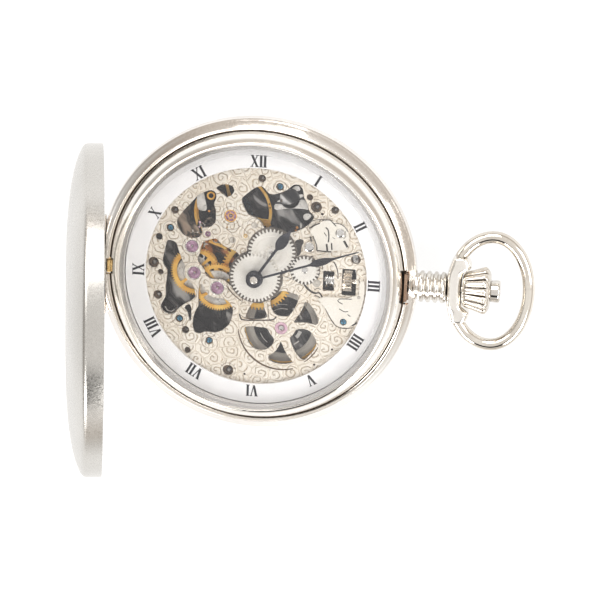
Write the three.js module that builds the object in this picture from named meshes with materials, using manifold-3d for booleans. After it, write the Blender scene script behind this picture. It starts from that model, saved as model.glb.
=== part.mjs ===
// Pocket watch: hunter case with a sprung front lid, open (skeleton) dial and
// a hand-wound movement. Millimetres, +Z up, the watch lying on its back.
// Origin: centre of the flat on the back cover. +X points to the pendant and
// crown (3 o'clock), +Y to 12 o'clock, +Z out of the dial.
import * as THREE from 'three';
import { mergeVertices } from 'three/addons/utils/BufferGeometryUtils.js';
import Module from 'manifold-3d';

const wasm = await Module();
wasm.setup();

// ---------------------------------------------------------------- dimensions
const DIAL_Z = 8.0;          // height of the dial's top face above the back
const SEG = 40;              // facets round the case parts
const CASE_R = 25.0;         // widest radius of the case middle
const MID_Z = -2.03;         // plane of the widest radius and of the stem axis
const LIP_R = 21.07;         // inner lip of the front bezel
const BEZEL_R = 22.76;       // outer edge of the front bezel
const DIAL_IN = 17.29;       // opening of the dial ring
const DIAL_OUT = 20.45;      // outer radius of the dial ring
const LID_R = 24.30;         // outer radius of the lid's rim
const LID_T = 0.5;           // thickness of the lid
const LID_OPEN = 76.3;       // opening angle of the lid on its stop, degrees
const HINGE_X = -24.36;      // lid hinge axis, parallel to Y
const HINGE_Z = -1.08;
const KNUCKLE_R = 0.52;      // hinge knuckles
const STEM_R = 0.6;          // winding stem
const BOW_PIVOT_X = 31.55;   // bow hinge axis, parallel to Y
const BOW_LEN = 10.45;       // bow pivot to the centre line of the far end
const BOW_HALF = 8.55;       // half width of the bow's centre line
const WIRE_R = 0.95;         // bow wire
const PLATE_R = 18.3;        // movement diameter 36.6 (16 1/2 lignes)
const PLATE_TOP = -0.60, PLATE_BOT = -1.05;

// arbor positions, seen from the dial side
const BARREL = [4.20, -8.05];
const THIRD = [-6.00, -2.30];
const FOURTH = [-9.70, -0.12];
const ESCAPE = [-10.15, 4.10];
const PALLET = [-7.70, 6.25];
const BALANCE = [-4.20, 9.40];
const MINUTE = [2.40, 4.15];
const SETTING = [7.62, 1.62];
const CROWNW = [11.0, 0.0];
// teeth
const T = {
  barrel: 56, centreP: 8, centre: 64, thirdP: 8, third: 60, fourthP: 8,
  fourth: 60, escapeP: 6, escape: 15, cannon: 12, minute: 36, minuteP: 10,
  hour: 40, setting: 22, ratchet: 44, crownW: 20, windP: 12,
};

// ------------------------------------------------------------------- helpers
const RAD = Math.PI / 180;
const V2 = (a) => a.map(([x, y]) => new THREE.Vector2(x, y));

function clean(g) {
  const h = g.index ? g.clone() : g;
  for (const k of Object.keys(h.attributes)) if (k !== 'position') h.deleteAttribute(k);
  const m = mergeVertices(h, 1e-5);
  const ix = m.index.array, out = [];
  for (let i = 0; i < ix.length; i += 3) {
    const [a, b, c] = [ix[i], ix[i + 1], ix[i + 2]];
    if (a !== b && b !== c && a !== c) out.push(a, b, c);
  }
  m.setIndex(out);
  return m;
}
function solid(g) {
  const m = clean(g);
  return new wasm.Manifold(new wasm.Mesh({
    numProp: 3,
    vertProperties: new Float32Array(m.attributes.position.array),
    triVerts: new Uint32Array(m.index.array),
  }));
}
function geo(s) {
  const m = s.getMesh();
  const g = new THREE.BufferGeometry();
  const n = m.numProp, v = m.vertProperties, pos = new Float32Array((v.length / n) * 3);
  for (let i = 0; i < v.length / n; i++) for (let k = 0; k < 3; k++) pos[3 * i + k] = v[i * n + k];
  g.setAttribute('position', new THREE.BufferAttribute(pos, 3));
  g.setIndex(Array.from(m.triVerts));
  g.computeVertexNormals();
  return g;
}
const add = (...p) => geo(p.map(solid).reduce((a, b) => a.add(b)));
const cut = (g, ...p) => geo(p.map(solid).reduce((a, b) => a.subtract(b), solid(g)));

// turned part about +Z: profile of [radius, z], closed on itself, or starting
// and ending on the axis; listed so that the solid lies to the left
function turn(profile, seg = SEG, closed = true) {
  const pts = closed ? [...profile, profile[0]] : profile;
  // signed area in the (r, z) plane fixes the facing
  let area = 0;
  const loop = profile;
  for (let i = 0; i < loop.length; i++) {
    const [a, b] = [loop[i], loop[(i + 1) % loop.length]];
    area += a[0] * b[1] - b[0] * a[1];
  }
  const use = area > 0 ? pts : [...pts].reverse();
  const g = new THREE.LatheGeometry(V2(use), seg);
  g.rotateX(Math.PI / 2);
  return clean(g);
}
// turned part about +X
function turnX(profile, seg, closed = true) {
  const g = turn(profile.map(([x, r]) => [r, x]), seg, closed);
  g.rotateY(Math.PI / 2);
  return g;
}
function circle(r, n, cx = 0, cy = 0, a0 = 0) {
  return Array.from({ length: n }, (_, i) => {
    const a = a0 + (i / n) * 2 * Math.PI;
    return [cx + r * Math.cos(a), cy + r * Math.sin(a)];
  });
}
// flat part between z0 and z1 from an outline with optional holes
function flat(outline, z0, z1, holes = []) {
  const s = new THREE.Shape(V2(outline));
  for (const h of holes) s.holes.push(new THREE.Path(V2(h)));
  const g = new THREE.ExtrudeGeometry(s, { depth: z1 - z0, bevelEnabled: false, curveSegments: 1 });
  g.translate(0, 0, z0);
  return clean(g);
}
const disc = (r, z0, z1, n = 16, cx = 0, cy = 0) => flat(circle(r, n, cx, cy), z0, z1);
const ring = (r0, r1, z0, z1, n = 16, cx = 0, cy = 0) =>
  flat(circle(r1, n, cx, cy), z0, z1, [circle(r0, n, cx, cy)]);
function rodX(r, x0, x1, n = 12, y = 0, z = MID_Z) {
  const g = new THREE.CylinderGeometry(r, r, x1 - x0, n);
  g.rotateZ(Math.PI / 2);
  g.translate((x0 + x1) / 2, y, z);
  return clean(g);
}
function rodY(r, y0, y1, n, x, z) {
  const g = new THREE.CylinderGeometry(r, r, y1 - y0, n);
  g.translate(x, (y0 + y1) / 2, z);
  return clean(g);
}
function box(x0, x1, y0, y1, z0, z1) {
  const g = new THREE.BoxGeometry(x1 - x0, y1 - y0, z1 - z0);
  g.translate((x0 + x1) / 2, (y0 + y1) / 2, (z0 + z1) / 2);
  return clean(g);
}
// toothed outline: pointed teeth, tip at angle `tip`
function teeth(n, pitch, m, tip, cx, cy, up = 0.55, down = 0.95) {
  const out = [];
  for (let i = 0; i < n; i++) {
    const a = tip + (i / n) * 2 * Math.PI, b = a + Math.PI / n;
    out.push([cx + (pitch + up * m) * Math.cos(a), cy + (pitch + up * m) * Math.sin(a)]);
    out.push([cx + (pitch - down * m) * Math.cos(b), cy + (pitch - down * m) * Math.sin(b)]);
  }
  return out;
}
const ang = (a, b) => Math.atan2(b[1] - a[1], b[0] - a[0]);
const dist = (a, b) => Math.hypot(b[0] - a[0], b[1] - a[1]);
// sector window between two spokes of a wheel
function sector(r0, r1, a0, a1, cx, cy, n = 4) {
  const out = [];
  for (let i = 0; i <= n; i++) {
    const a = a0 + ((a1 - a0) * i) / n;
    out.push([cx + r1 * Math.cos(a), cy + r1 * Math.sin(a)]);
  }
  const k = 1;
  for (let i = k; i >= 0; i--) {
    const a = a0 + ((a1 - a0) * i) / k;
    out.push([cx + r0 * Math.cos(a), cy + r0 * Math.sin(a)]);
  }
  return out;
}
function spokes(count, r0, r1, half, phase, cx, cy) {
  const out = [];
  for (let i = 0; i < count; i++) {
    const a = phase + (i / count) * 2 * Math.PI, b = a + (2 * Math.PI) / count;
    out.push(sector(r0, r1, a + half, b - half, cx, cy));
  }
  return out;
}
// spiral strip of constant thickness
function spiral(r0, r1, turns, thick, z0, z1, per, cx, cy) {
  const n = Math.round(turns * per), outer = [], inner = [];
  for (let i = 0; i <= n; i++) {
    const a = (i / per) * 2 * Math.PI, r = r0 + ((r1 - r0) * i) / n;
    outer.push([cx + (r + thick / 2) * Math.cos(a), cy + (r + thick / 2) * Math.sin(a)]);
    inner.push([cx + (r - thick / 2) * Math.cos(a), cy + (r - thick / 2) * Math.sin(a)]);
  }
  return flat([...outer, ...inner.reverse()], z0, z1);
}

// ------------------------------------------------------------------ assembly
const watch = new THREE.Group();
const body = new THREE.Group();          // everything, lifted to the dial height
body.position.set(0, 0, DIAL_Z);
watch.add(body);

const STEEL = [0xd8d8da, 0.18, 1.0], NICKEL = [0xd9d0c2, 0.3, 1.0], GOLD = [0xe0a94e, 0.28, 1.0];
const DARK = [0x55565c, 0.35, 1.0], RUBY = [0xb98aa8, 0.15, 0.0], BLUE = [0x2a6a96, 0.25, 1.0];
const BRASS = [0xb98848, 0.35, 1.0], WHITE = [0xebebee, 0.5, 0.0], GREY = [0x8c8c90, 0.4, 1.0];

function put(name, geometry, [color, roughness, metalness], parent = body, extra = {}) {
  const mesh = new THREE.Mesh(geometry, new THREE.MeshStandardMaterial({ color, roughness, metalness, ...extra }));
  mesh.name = name;
  parent.add(mesh);
  return mesh;
}

// ---- case middle: ring with a sloped shoulder, hinge lugs, stem hole, catch slot
const caseRing = turn([
  [21.30, -4.30], [24.20, -4.30], [24.85, -3.10], [CASE_R, MID_Z], [24.80, -1.36],
  [24.41, -1.03], [23.56, -0.24], [23.12, -0.60], [23.12, -1.30], [21.30, -1.30],
]);
const lugs = [[3.1, 8.0], [-8.0, -3.1]].map(([a, b]) => rodY(KNUCKLE_R, a, b, 12, HINGE_X, HINGE_Z));
const lugFeet = [[3.1, 8.0], [-8.0, -3.1]].map(([a, b]) => box(HINGE_X - 0.15, HINGE_X + 0.5, a, b, -1.75, -1.2));
let caseMid = cut(caseRing, rodY(0.66, -8.1, 8.1, 12, HINGE_X, HINGE_Z),
  rodX(1.78, 20, 27, 16), box(22.6, 23.78, -2.6, 2.6, -1.29, 0.2),
  box(-23.55, -22.9, -1.3, 1.3, -1.9, 0.2));
caseMid = add(caseMid, ...lugs, ...lugFeet);
caseMid = cut(caseMid, rodY(0.24, -8.3, 8.3, 8, HINGE_X, HINGE_Z));
put('case_middle', caseMid, STEEL);

// ---- pendant neck: ribbed tube brazed into the case, bored for the stem
put('pendant_neck', (() => {
  const g = turnX([
    [24.45, 1.15], [29.42, 1.15], [29.42, 2.3], [28.9, 2.45], [28.35, 2.2], [27.8, 2.45],
    [27.25, 2.2], [26.7, 2.45], [26.1, 2.25], [25.06, 2.85], [25.06, 1.70], [24.45, 1.70],
  ], 16);
  g.translate(0, 0, MID_Z);
  return g;
})(), STEEL);

// ---- bow collar: crescent that carries the two bow pivots
put('bow_collar', (() => {
  const half = [[29.46, 2.4], [29.75, 3.8], [30.2, 5.15], [32.55, 5.15], [33.05, 4.3], [33.15, 3.6], [32.9, 3.32], [31.75, 2.78]];
  const o = [...half.map(([x, y]) => [x, -y]).reverse(), ...half];
  const g = flat(o, MID_Z - 1.75, MID_Z + 1.75);
  return cut(g, rodX(1.15, 29, 32, 16), rodY(0.40, 3.2, 6, 10, BOW_PIVOT_X, MID_Z), rodY(0.40, -6, -3.2, 10, BOW_PIVOT_X, MID_Z));
})(), STEEL);

// ---- bow: bent wire ring with flattened eyes at its ends
const bowPath = (() => {
  const pts = [], n = 24;
  const y0 = 5.35;
  // ellipse arc from one eye round to the other
  const cx = BOW_PIVOT_X + 4.85, a = BOW_LEN - 4.85;
  const start = Math.asin(y0 / BOW_HALF);
  for (let i = 0; i <= n; i++) {
    const t = Math.PI - start - ((Math.PI - start) * 2 * i) / n;
    pts.push(new THREE.Vector3(cx + (t > Math.PI / 2 || t < -Math.PI / 2 ? 4.85 / Math.cos(start) : a) * Math.cos(t), BOW_HALF * Math.sin(t), 0));
  }
  return pts;
})();
put('bow', (() => {
  const curve = new THREE.CatmullRomCurve3(bowPath.map((p) => new THREE.Vector3(p.x, p.y, MID_Z)), false);
  const s = new THREE.Shape(V2(circle(WIRE_R, 8)));
  const wire = clean(new THREE.ExtrudeGeometry(s, { steps: 30, bevelEnabled: false, extrudePath: curve, curveSegments: 1 }));
  const eyes = [[5.25, 6.6], [-6.6, -5.25]].map(([a, b]) => rodY(0.98, a, b, 12, BOW_PIVOT_X, MID_Z));
  const g = add(wire, ...eyes);
  return cut(g, rodY(0.42, 3.4, 7.6, 10, BOW_PIVOT_X, MID_Z), rodY(0.42, -7.6, -3.4, 10, BOW_PIVOT_X, MID_Z),
    rodY(0.72, 6.94, 8.2, 10, BOW_PIVOT_X, MID_Z), rodY(0.72, -8.2, -6.94, 10, BOW_PIVOT_X, MID_Z),
    box(29, 34, -5.25, 5.25, MID_Z - 2, MID_Z + 2));
})(), STEEL);
put('bow_pin_upper', add(rodY(0.34, 3.45, 7.05, 10, BOW_PIVOT_X, MID_Z), rodY(0.62, 7.0, 7.3, 12, BOW_PIVOT_X, MID_Z)), STEEL);
put('bow_pin_lower', add(rodY(0.34, -7.05, -3.45, 10, BOW_PIVOT_X, MID_Z), rodY(0.62, -7.3, -7.0, 12, BOW_PIVOT_X, MID_Z)), STEEL);

// ---- front bezel, crystal, dial ring
put('front_bezel', cut(turn([
  [20.50, 1.30], [LIP_R, 1.30], [LIP_R, 1.75], [21.45, 1.70], [22.25, 0.95],
  [BEZEL_R, -0.54], [22.70, -1.25], [21.38, -1.25], [21.38, 0.03], [20.50, 0.05],
].reverse()), box(22.0, 23.6, -2.6, 2.6, -1.6, -0.15)), STEEL);
put('crystal', turn([
  [0, 1.95], [20.15, 1.95], [20.35, 1.35], [21.0, 1.35], [21.0, 1.70], [19.9, 2.60], [0, 2.60],
], SEG, false), [0xf4f6f6, 0.03, 0.0], body, { transparent: true, opacity: 0.25 });
put('dial_ring', ring(DIAL_IN, DIAL_OUT, -0.40, 0, SEG), WHITE);
put('movement_ring', cut(ring(18.4, 21.2, -3.6, -0.48, SEG), rodX(0.95, 17, 22.5, 12)), GREY);

// ---- back cover: shallow dome with a flat, snapped under the case middle
put('back_cover', turn([
  [0, -8.0], [15.0, -8.0], [20.2, -7.2], [23.2, -5.75], [24.12, -4.34], [21.22, -4.34], [21.22, -3.9],
  [20.6, -3.9], [20.6, -5.5], [15.0, -7.4], [0, -7.4],
], SEG, false), STEEL);

// ---- lid catch and lid spring
put('lid_catch', add(box(23.02, 23.5, -2.2, 2.2, -1.2, -0.2), box(23.02, 23.3, -1.0, 1.0, -1.26, -1.1)), BRASS);
put('lid_spring', box(-23.50, -22.95, -1.0, 1.0, -1.85, -0.55), BRASS);

// ---- hinge pin and lid
put('hinge_pin', rodY(0.18, -7.95, 7.95, 8, HINGE_X, HINGE_Z), BRASS);
put('front_lid', (() => {
  const outer = [[LID_R, -0.82], [LID_R, 1.50], [23.95, 2.15], [22.6, 2.85], [19.2, 3.75], [13.0, 4.42], [0, 4.64]];
  const inner = [[0, 4.64 - LID_T], [12.9, 3.92], [18.9, 3.27], [22.2, 2.40], [23.70, 1.35], [23.78, -0.34]];
  let g = turn([...inner, ...outer], SEG, false);
  g = cut(g, rodY(0.64, -8.12, 8.12, 12, HINGE_X, HINGE_Z));
  const knuckle = add(rodY(KNUCKLE_R, -3.0, 3.0, 12, HINGE_X, HINGE_Z), box(HINGE_X - 0.05, HINGE_X + 0.40, -3.0, 3.0, HINGE_Z + 0.25, 0.2));
  g = add(g, knuckle);
  g = cut(g, rodY(0.24, -3.2, 3.2, 8, HINGE_X, HINGE_Z));
  // swing the closed lid about the hinge to its open stop
  g.translate(-HINGE_X, 0, -HINGE_Z);
  g.rotateY(-LID_OPEN * RAD);
  g.translate(HINGE_X, 0, HINGE_Z);
  return g;
})(), STEEL);

// ---- crown, stem, pusher
put('crown', (() => {
  const n = 24, rings = [[31.95, 2.55, 0.0], [32.35, 2.85, 0.10], [35.25, 3.70, 0.10], [35.85, 3.35, 0.06], [36.2, 2.55, 0.0]];
  const pos = [], idx = [];
  const bore = [[31.95, 0.64], [33.6, 0.64], [33.6, 0.95], [34.8, 0.95], [34.8, 1.88], [36.2, 1.88]];
  for (const [x, r, d] of rings) for (let i = 0; i < n; i++) {
    const a = (i / n) * 2 * Math.PI, q = r * (1 - (i % 2 ? d : 0));
    pos.push(x, q * Math.cos(a), MID_Z + q * Math.sin(a));
  }
  for (const [x, r] of [...bore].reverse()) for (let i = 0; i < n; i++) {
    const a = (i / n) * 2 * Math.PI;
    pos.push(x, r * Math.cos(a), MID_Z + r * Math.sin(a));
  }
  const R = rings.length + bore.length;
  for (let k = 0; k < R; k++) for (let i = 0; i < n; i++) {
    const a = k * n + i, b = k * n + ((i + 1) % n), c = ((k + 1) % R) * n + i, d = ((k + 1) % R) * n + ((i + 1) % n);
    idx.push(a, b, c, b, d, c);
  }
  const g = new THREE.BufferGeometry();
  g.setAttribute('position', new THREE.BufferAttribute(new Float32Array(pos), 3));
  g.setIndex(idx);
  return clean(g);
})(), STEEL);
put('winding_stem', cut(add(rodX(STEM_R, 12.7, 33.2, 12), rodX(0.42, 9.9, 12.9, 4)), rodX(0.38, 24.0, 34, 8)), GREY);
put('pusher', add(turnX([[36.28, 0], [36.28, 1.65], [37.45, 1.78], [37.70, 1.5], [37.70, 0]], 18, false).translate(0, 0, MID_Z),
  rodX(0.80, 34.9, 36.4, 12), rodX(0.30, 25.3, 35, 8)), STEEL);

// ---- keyless work
put('sliding_clutch', cut(turnX([[10.75, 0.66], [10.75, 1.28], [11.15, 1.28], [11.25, 0.98], [11.85, 0.98], [11.95, 1.28], [12.4, 1.28], [12.4, 0.66]], 16).translate(0, 0, MID_Z)
  , rodX(0.70, 10, 13, 4)), GREY);
const windTip = -Math.PI / 2;
put('winding_pinion', (() => {
  const g = flat(teeth(T.windP, 1.72, 0.22, windTip, 0, 0), 13.5, 14.9, [circle(0.66, 12)]);
  g.rotateY(Math.PI / 2); g.rotateX(Math.PI / 2);
  g.translate(0, 0, MID_Z);
  return g;
})(), GREY);
put('setting_lever', flat([[12.3, 8.5], [12.2, 7.5], [14.6, 5.0], [15.5, 1.1], [15.9, 1.1], [15.7, 4.6], [14.0, 7.6], [13.4, 8.5]], -1.40, -1.20, [circle(0.36, 8, 12.85, 7.9)]), GREY);
put('setting_lever_spring', flat([
  [8.7, 7.1], [9.35, 5.2], [9.6, 4.75], [14.0, 5.3], [14.35, 6.1], [14.1, 8.5], [13.3, 9.35], [12.0, 9.6], [11.0, 9.95], [9.9, 9.6], [8.0, 8.1],
], -0.55, -0.25, [circle(0.70, 12, 12.85, 7.9)]), NICKEL);
put('keyless_cover', flat([
  [9.3, -2.35], [10.9, -3.95], [12.1, -5.95], [13.0, -6.9], [14.2, -7.15], [15.45, -6.6], [16.35, -5.0], [17.0, -2.2],
  [17.0, 0.6], [16.1, 0.6], [16.1, -2.35],
], -0.55, -0.25, [circle(0.52, 10, 13.9, -6.2)]), NICKEL);
put('cover_screw', add(disc(0.65, -0.50, -0.15, 12, 12.85, 7.9), disc(0.30, -2.0, -0.4, 8, 12.85, 7.9)), STEEL);
put('lever_screw', add(disc(0.75, -0.55, -0.30, 12, 8.15, 5.35), disc(0.30, -1.5, -0.4, 8, 8.15, 5.35)), STEEL);

// ---- motion work: phases follow from the line of centres
const C = [0, 0];
const mA = (2 * dist(C, MINUTE)) / (T.cannon + T.minute), mB = (2 * dist(C, MINUTE)) / (T.minuteP + T.hour);
const aCM = ang(C, MINUTE), aMS = ang(MINUTE, SETTING);
const minutePhase = aCM + Math.PI + Math.PI / T.minute;      // a gap faces the cannon pinion
put('cannon_pinion', add(
  flat(teeth(T.cannon, mA * T.cannon / 2, mA, aCM, 0, 0), -0.52, -0.20),
  disc(0.42, -0.9, 1.28, 12)), STEEL);
put('minute_wheel', cut(add(
  flat(teeth(T.minute, mA * T.minute / 2, mA, minutePhase, ...MINUTE), -0.48, -0.26),
  flat(teeth(T.minuteP, mB * T.minuteP / 2, mB, aCM + Math.PI, ...MINUTE), -0.3, 0.10)),
  disc(0.34, -1, 1, 10, ...MINUTE)), NICKEL);
put('hour_wheel', flat(teeth(T.hour, mB * T.hour / 2, mB, aCM + Math.PI / T.hour, 0, 0), -0.14, 0.06, [circle(0.80, 14)]), NICKEL);
const mS = mA;
put('setting_wheel', (() => {
  const r = mS * T.setting / 2, k = Math.round((aMS - minutePhase) / (2 * Math.PI / T.minute));
  const tipErr = aMS - (minutePhase + k * 2 * Math.PI / T.minute);       // tooth of the minute wheel nearest the line
  const tip = aMS + Math.PI + Math.PI / T.setting + tipErr * (T.minute / T.setting);
  return flat(teeth(T.setting, r, mS, tip, ...SETTING), -0.48, -0.26, [circle(0.5, 10, ...SETTING)]);
})(), NICKEL);

// ---- hands
const HOUR_A = 56.2 * RAD, MIN_A = 19.3 * RAD;
function hand(a, len, leafAt, leafLen, leafW, w, z0, z1, hubR, boreR, tail = 0) {
  const o = [[-tail, w * 0.6], [leafAt - leafLen / 2, w * 0.5], [leafAt - leafLen * 0.12, leafW / 2], [leafAt + leafLen * 0.2, leafW * 0.42],
    [leafAt + leafLen / 2, w * 0.45], [len, 0.05]];
  const pts = [...o, ...o.slice().reverse().map(([x, y]) => [x, -y])];
  const blade = flat(pts, z0, z1);
  blade.rotateZ(a);
  return cut(add(blade, disc(hubR, z0, z1, 16)), disc(boreR, z0 - 1, z1 + 1, 14));
}
put('hour_hand', add(hand(HOUR_A, 10.4, 7.6, 3.4, 1.75, 0.42, 0.72, 0.88, 1.35, 0.62), ring(0.62, 1.05, 0.12, 0.80, 14)), DARK);
put('minute_hand', add(hand(MIN_A, 17.0, 11.0, 3.4, 1.20, 0.36, 1.32, 1.44, 1.24, 0.1), disc(1.24, 1.34, 1.75, 16)), DARK);

// ---- main plate with its windows
const WINDOWS = {
  upperLeft: [[-10.6, 10.8], [-12.4, 8.2], [-12.3, 7.0], [-11.4, 5.8], [-9.3, 5.65], [-8.6, 6.1], [-8.7, 7.2], [-7.0, 7.6], [-6.65, 8.5], [-6.5, 11.3], [-7.2, 13.1], [-9.2, 12.4]],
  small: [[-6.6, 13.5], [-4.7, 14.25], [-3.85, 13.4], [-5.0, 12.2], [-5.3, 12.9]],
  top: [[-2.6, 12.0], [-0.5, 14.15], [0.6, 14.45], [1.6, 13.3], [4.3, 13.9], [5.4, 15.0], [6.3, 15.0], [6.95, 13.2], [7.9, 11.0], [8.9, 10.1], [5.2, 7.2], [1.2, 7.2], [0.2, 9.2], [-1.4, 9.7]],
  left: [[-13.9, 4.95], [-14.5, 1.5], [-13.9, 0.2], [-14.2, -3.4], [-14.7, -6.2], [-13.6, -7.1], [-11.2, -5.1], [-9.7, -4.6], [-9.9, -1.9], [-11.25, -0.6], [-10.9, 1.1], [-12.2, 3.4], [-12.9, 4.8]],
  centre: [[-8.5, 4.7], [-6.4, 5.7], [-5.2, 4.5], [-2.9, 3.6], [-2.4, 2.4], [-2.4, 0], [-3.2, -1.6], [-4.3, -1.6], [-5.0, -0.85], [-7.2, -1.0], [-8.0, -0.3], [-7.9, 0.3], [-9.3, 1.9], [-8.6, 3.2]],
  lower: [[-9.2, -2.2], [-8.6, -1.8], [-7.5, -3.6], [-6.0, -4.1], [-4.6, -3.7], [-3.5, -5.4], [-3.7, -7.3], [-5.8, -9.6], [-9.1, -9.9], [-9.8, -9.1], [-9.2, -5.2]],
  b1: [[-0.7, -4.7], [-1.45, -6.9], [1.0, -6.85], [2.1, -6.35], [1.35, -4.2], [1.1, -3.7], [0.0, -3.9]],
  b2: [[3.6, -2.1], [4.5, -2.0], [6.85, -2.6], [6.3, -4.5], [5.2, -6.1], [3.4, -6.0], [2.45, -4.6], [2.35, -3.6]],
  b3: [[8.0, -3.4], [9.3, -4.7], [10.0, -6.8], [9.4, -7.15], [6.1, -6.95], [7.6, -4.4]],
  b4: [[6.6, -8.05], [7.8, -7.9], [9.4, -9.0], [9.85, -10.1], [9.5, -11.2], [7.9, -12.9], [6.4, -11.6], [5.6, -9.5]],
  b5: [[4.2, -10.2], [6.25, -13.5], [4.2, -13.85], [2.4, -13.2], [2.9, -12.3]],
  b6: [[1.5, -8.15], [2.4, -8.9], [3.15, -9.9], [2.3, -11.5], [0.3, -11.75], [-1.2, -10.0], [-1.6, -8.3]],
  keyless: [[10.3, -2.25], [15.9, -2.25], [15.9, 2.3], [10.3, 2.3]],
};
const SCREWS = [[3.30, 14.50], [-13.60, 6.85], [-11.90, -7.70], [-7.10, -10.95], [13.90, -6.20]];
const JEWELS = { third: THIRD, fourth: FOURTH, escape: ESCAPE, pallet: [-7.70, 6.25], balance: BALANCE, barrel: BARREL };
const JR = { third: 0.95, fourth: 0.93, escape: 0.92, pallet: 0.42, balance: 0.84, barrel: 0.98 };
put('main_plate', flat(circle(PLATE_R, SEG, 0, 0, 0), PLATE_BOT, PLATE_TOP, [
  ...Object.values(WINDOWS),
  ...SCREWS.map(([x, y]) => circle(0.56, 6, x, y)),
  ...Object.entries(JEWELS).map(([k, [x, y]]) => circle(JR[k] + 0.04, 10, x, y)),
  circle(0.55, 12), circle(0.42, 8, ...MINUTE), circle(0.42, 8, 12.85, 7.9), circle(0.42, 8, 8.15, 5.35),
]), NICKEL);
for (const [k, [x, y]] of Object.entries(JEWELS)) {
  put(`jewel_${k}`, ring(k === 'barrel' ? 0.44 : 0.16, JR[k], -1.02, -0.62, 10, x, y), RUBY);
}
SCREWS.forEach(([x, y], i) => put(`blued_screw_${i + 1}`, disc(0.46, i === 4 ? -0.95 : -1.0, i === 4 ? -0.3 : -0.66, 6, x, y), BLUE));

// ---- going train
const train = (name, parts, mat) => put(name, add(...parts), mat);
const mBar = (2 * dist(C, BARREL)) / (T.barrel + T.centreP);
const aBC = ang(BARREL, C), aC3 = ang(C, THIRD), a34 = ang(THIRD, FOURTH), a4E = ang(FOURTH, ESCAPE);
put('barrel_drum', (() => {
  const hub = circle(0.72, 12, ...BARREL);
  const gear = flat(teeth(T.barrel, mBar * T.barrel / 2, mBar, aBC, ...BARREL), -3.05, -2.80, [circle(6.0, 20, ...BARREL)]);
  const wall = ring(5.95, 6.6, -3.35, -2.35, 20, ...BARREL);
  const floor = flat(circle(6.3, 20, ...BARREL), -2.60, -2.38, [hub]);
  return add(wall, gear, floor);
})(), DARK);
put('barrel_arbor', add(disc(0.40, -4.42, -0.66, 10, ...BARREL), disc(0.62, -3.3, -2.30, 12, ...BARREL)), STEEL);
put('mainspring', spiral(1.2, 5.5, 2.5, 0.22, -3.28, -2.72, 12, ...BARREL), GREY);
const m80 = (2 * dist(C, THIRD)) / (T.centre + T.thirdP);
train('centre_wheel', [
  flat(teeth(T.centre, m80 * T.centre / 2, m80, aC3, 0, 0), -2.12, -1.94, spokes(4, 1.5, 4.9, 0.10, 0.3, 0, 0)),
  flat(teeth(T.centreP, mBar * T.centreP / 2, mBar, aBC + Math.PI + Math.PI / T.centreP, 0, 0), -3.15, -2.0),
  disc(0.35, -4.3, -0.95, 10),
], GOLD);
const m75 = (2 * dist(THIRD, FOURTH)) / (T.third + T.fourthP);
train('third_wheel', [
  flat(teeth(T.third, m75 * T.third / 2, m75, a34, ...THIRD), -1.42, -1.24, spokes(4, 1.0, 3.2, 0.13, 0.6, ...THIRD)),
  flat(teeth(T.thirdP, m80 * T.thirdP / 2, m80, aC3 + Math.PI + Math.PI / T.thirdP, ...THIRD), -2.35, -1.86),
  disc(0.24, -1.9, -1.3, 8, ...THIRD),
  disc(0.12, -4.5, -0.75, 8, ...THIRD),
], GOLD);
const m4 = (2 * dist(FOURTH, ESCAPE)) / (T.fourth + T.escapeP);
train('fourth_wheel', [
  flat(teeth(T.fourth, m4 * T.fourth / 2, m4, a4E, ...FOURTH), -1.78, -1.60, spokes(4, 0.9, 3.3, 0.14, 0.35, ...FOURTH)),
  flat(teeth(T.fourthP, m75 * T.fourthP / 2, m75, a34 + Math.PI + Math.PI / T.fourthP, ...FOURTH), -1.7, -1.15),
  disc(0.12, -4.5, -0.75, 8, ...FOURTH),
], GOLD);
train('escape_wheel', [
  flat((() => {
    const o = [];
    for (let i = 0; i < T.escape; i++) {
      const a = (i / T.escape) * 2 * Math.PI;
      o.push([ESCAPE[0] + 2.3 * Math.cos(a), ESCAPE[1] + 2.3 * Math.sin(a)]);
      o.push([ESCAPE[0] + 1.75 * Math.cos(a + 0.10), ESCAPE[1] + 1.75 * Math.sin(a + 0.10)]);
      o.push([ESCAPE[0] + 1.75 * Math.cos(a + 0.33), ESCAPE[1] + 1.75 * Math.sin(a + 0.33)]);
    }
    return o;
  })(), -2.55, -2.40, spokes(4, 0.55, 1.35, 0.22, 0.2, ...ESCAPE)),
  flat(teeth(T.escapeP, m4 * T.escapeP / 2, m4, a4E + Math.PI + Math.PI / T.escapeP, ...ESCAPE), -2.45, -1.5),
  disc(0.12, -4.5, -0.75, 8, ...ESCAPE),
], GREY);

// ---- escapement and balance
put('pallet_fork', (() => {
  const toE = ang(PALLET, ESCAPE), toB = ang(PALLET, BALANCE);
  const at = (a, r, side) => [PALLET[0] + r * Math.cos(a) - side * Math.sin(a), PALLET[1] + r * Math.sin(a) + side * Math.cos(a)];
  const o = [
    at(toB, 3.5, 0.5), at(toB, 2.9, 0.18), at(toB, 0.5, 0.2),
    at(toE, 0.05, -1.9), at(toE, 0.55, -2.35), at(toE, 0.75, -2.0), at(toE, 0.45, -0.5),
    at(toE, 0.45, 0.5), at(toE, 0.75, 2.0), at(toE, 0.55, 2.35), at(toE, 0.05, 1.9),
    at(toB, 0.5, -0.2), at(toB, 2.9, -0.18), at(toB, 3.5, -0.5), at(toB, 3.2, 0),
  ];
  return add(flat(o, -2.62, -2.36), disc(0.12, -3.12, -0.75, 8, ...PALLET), disc(0.42, -2.62, -2.2, 10, ...PALLET));
})(), STEEL);
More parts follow.
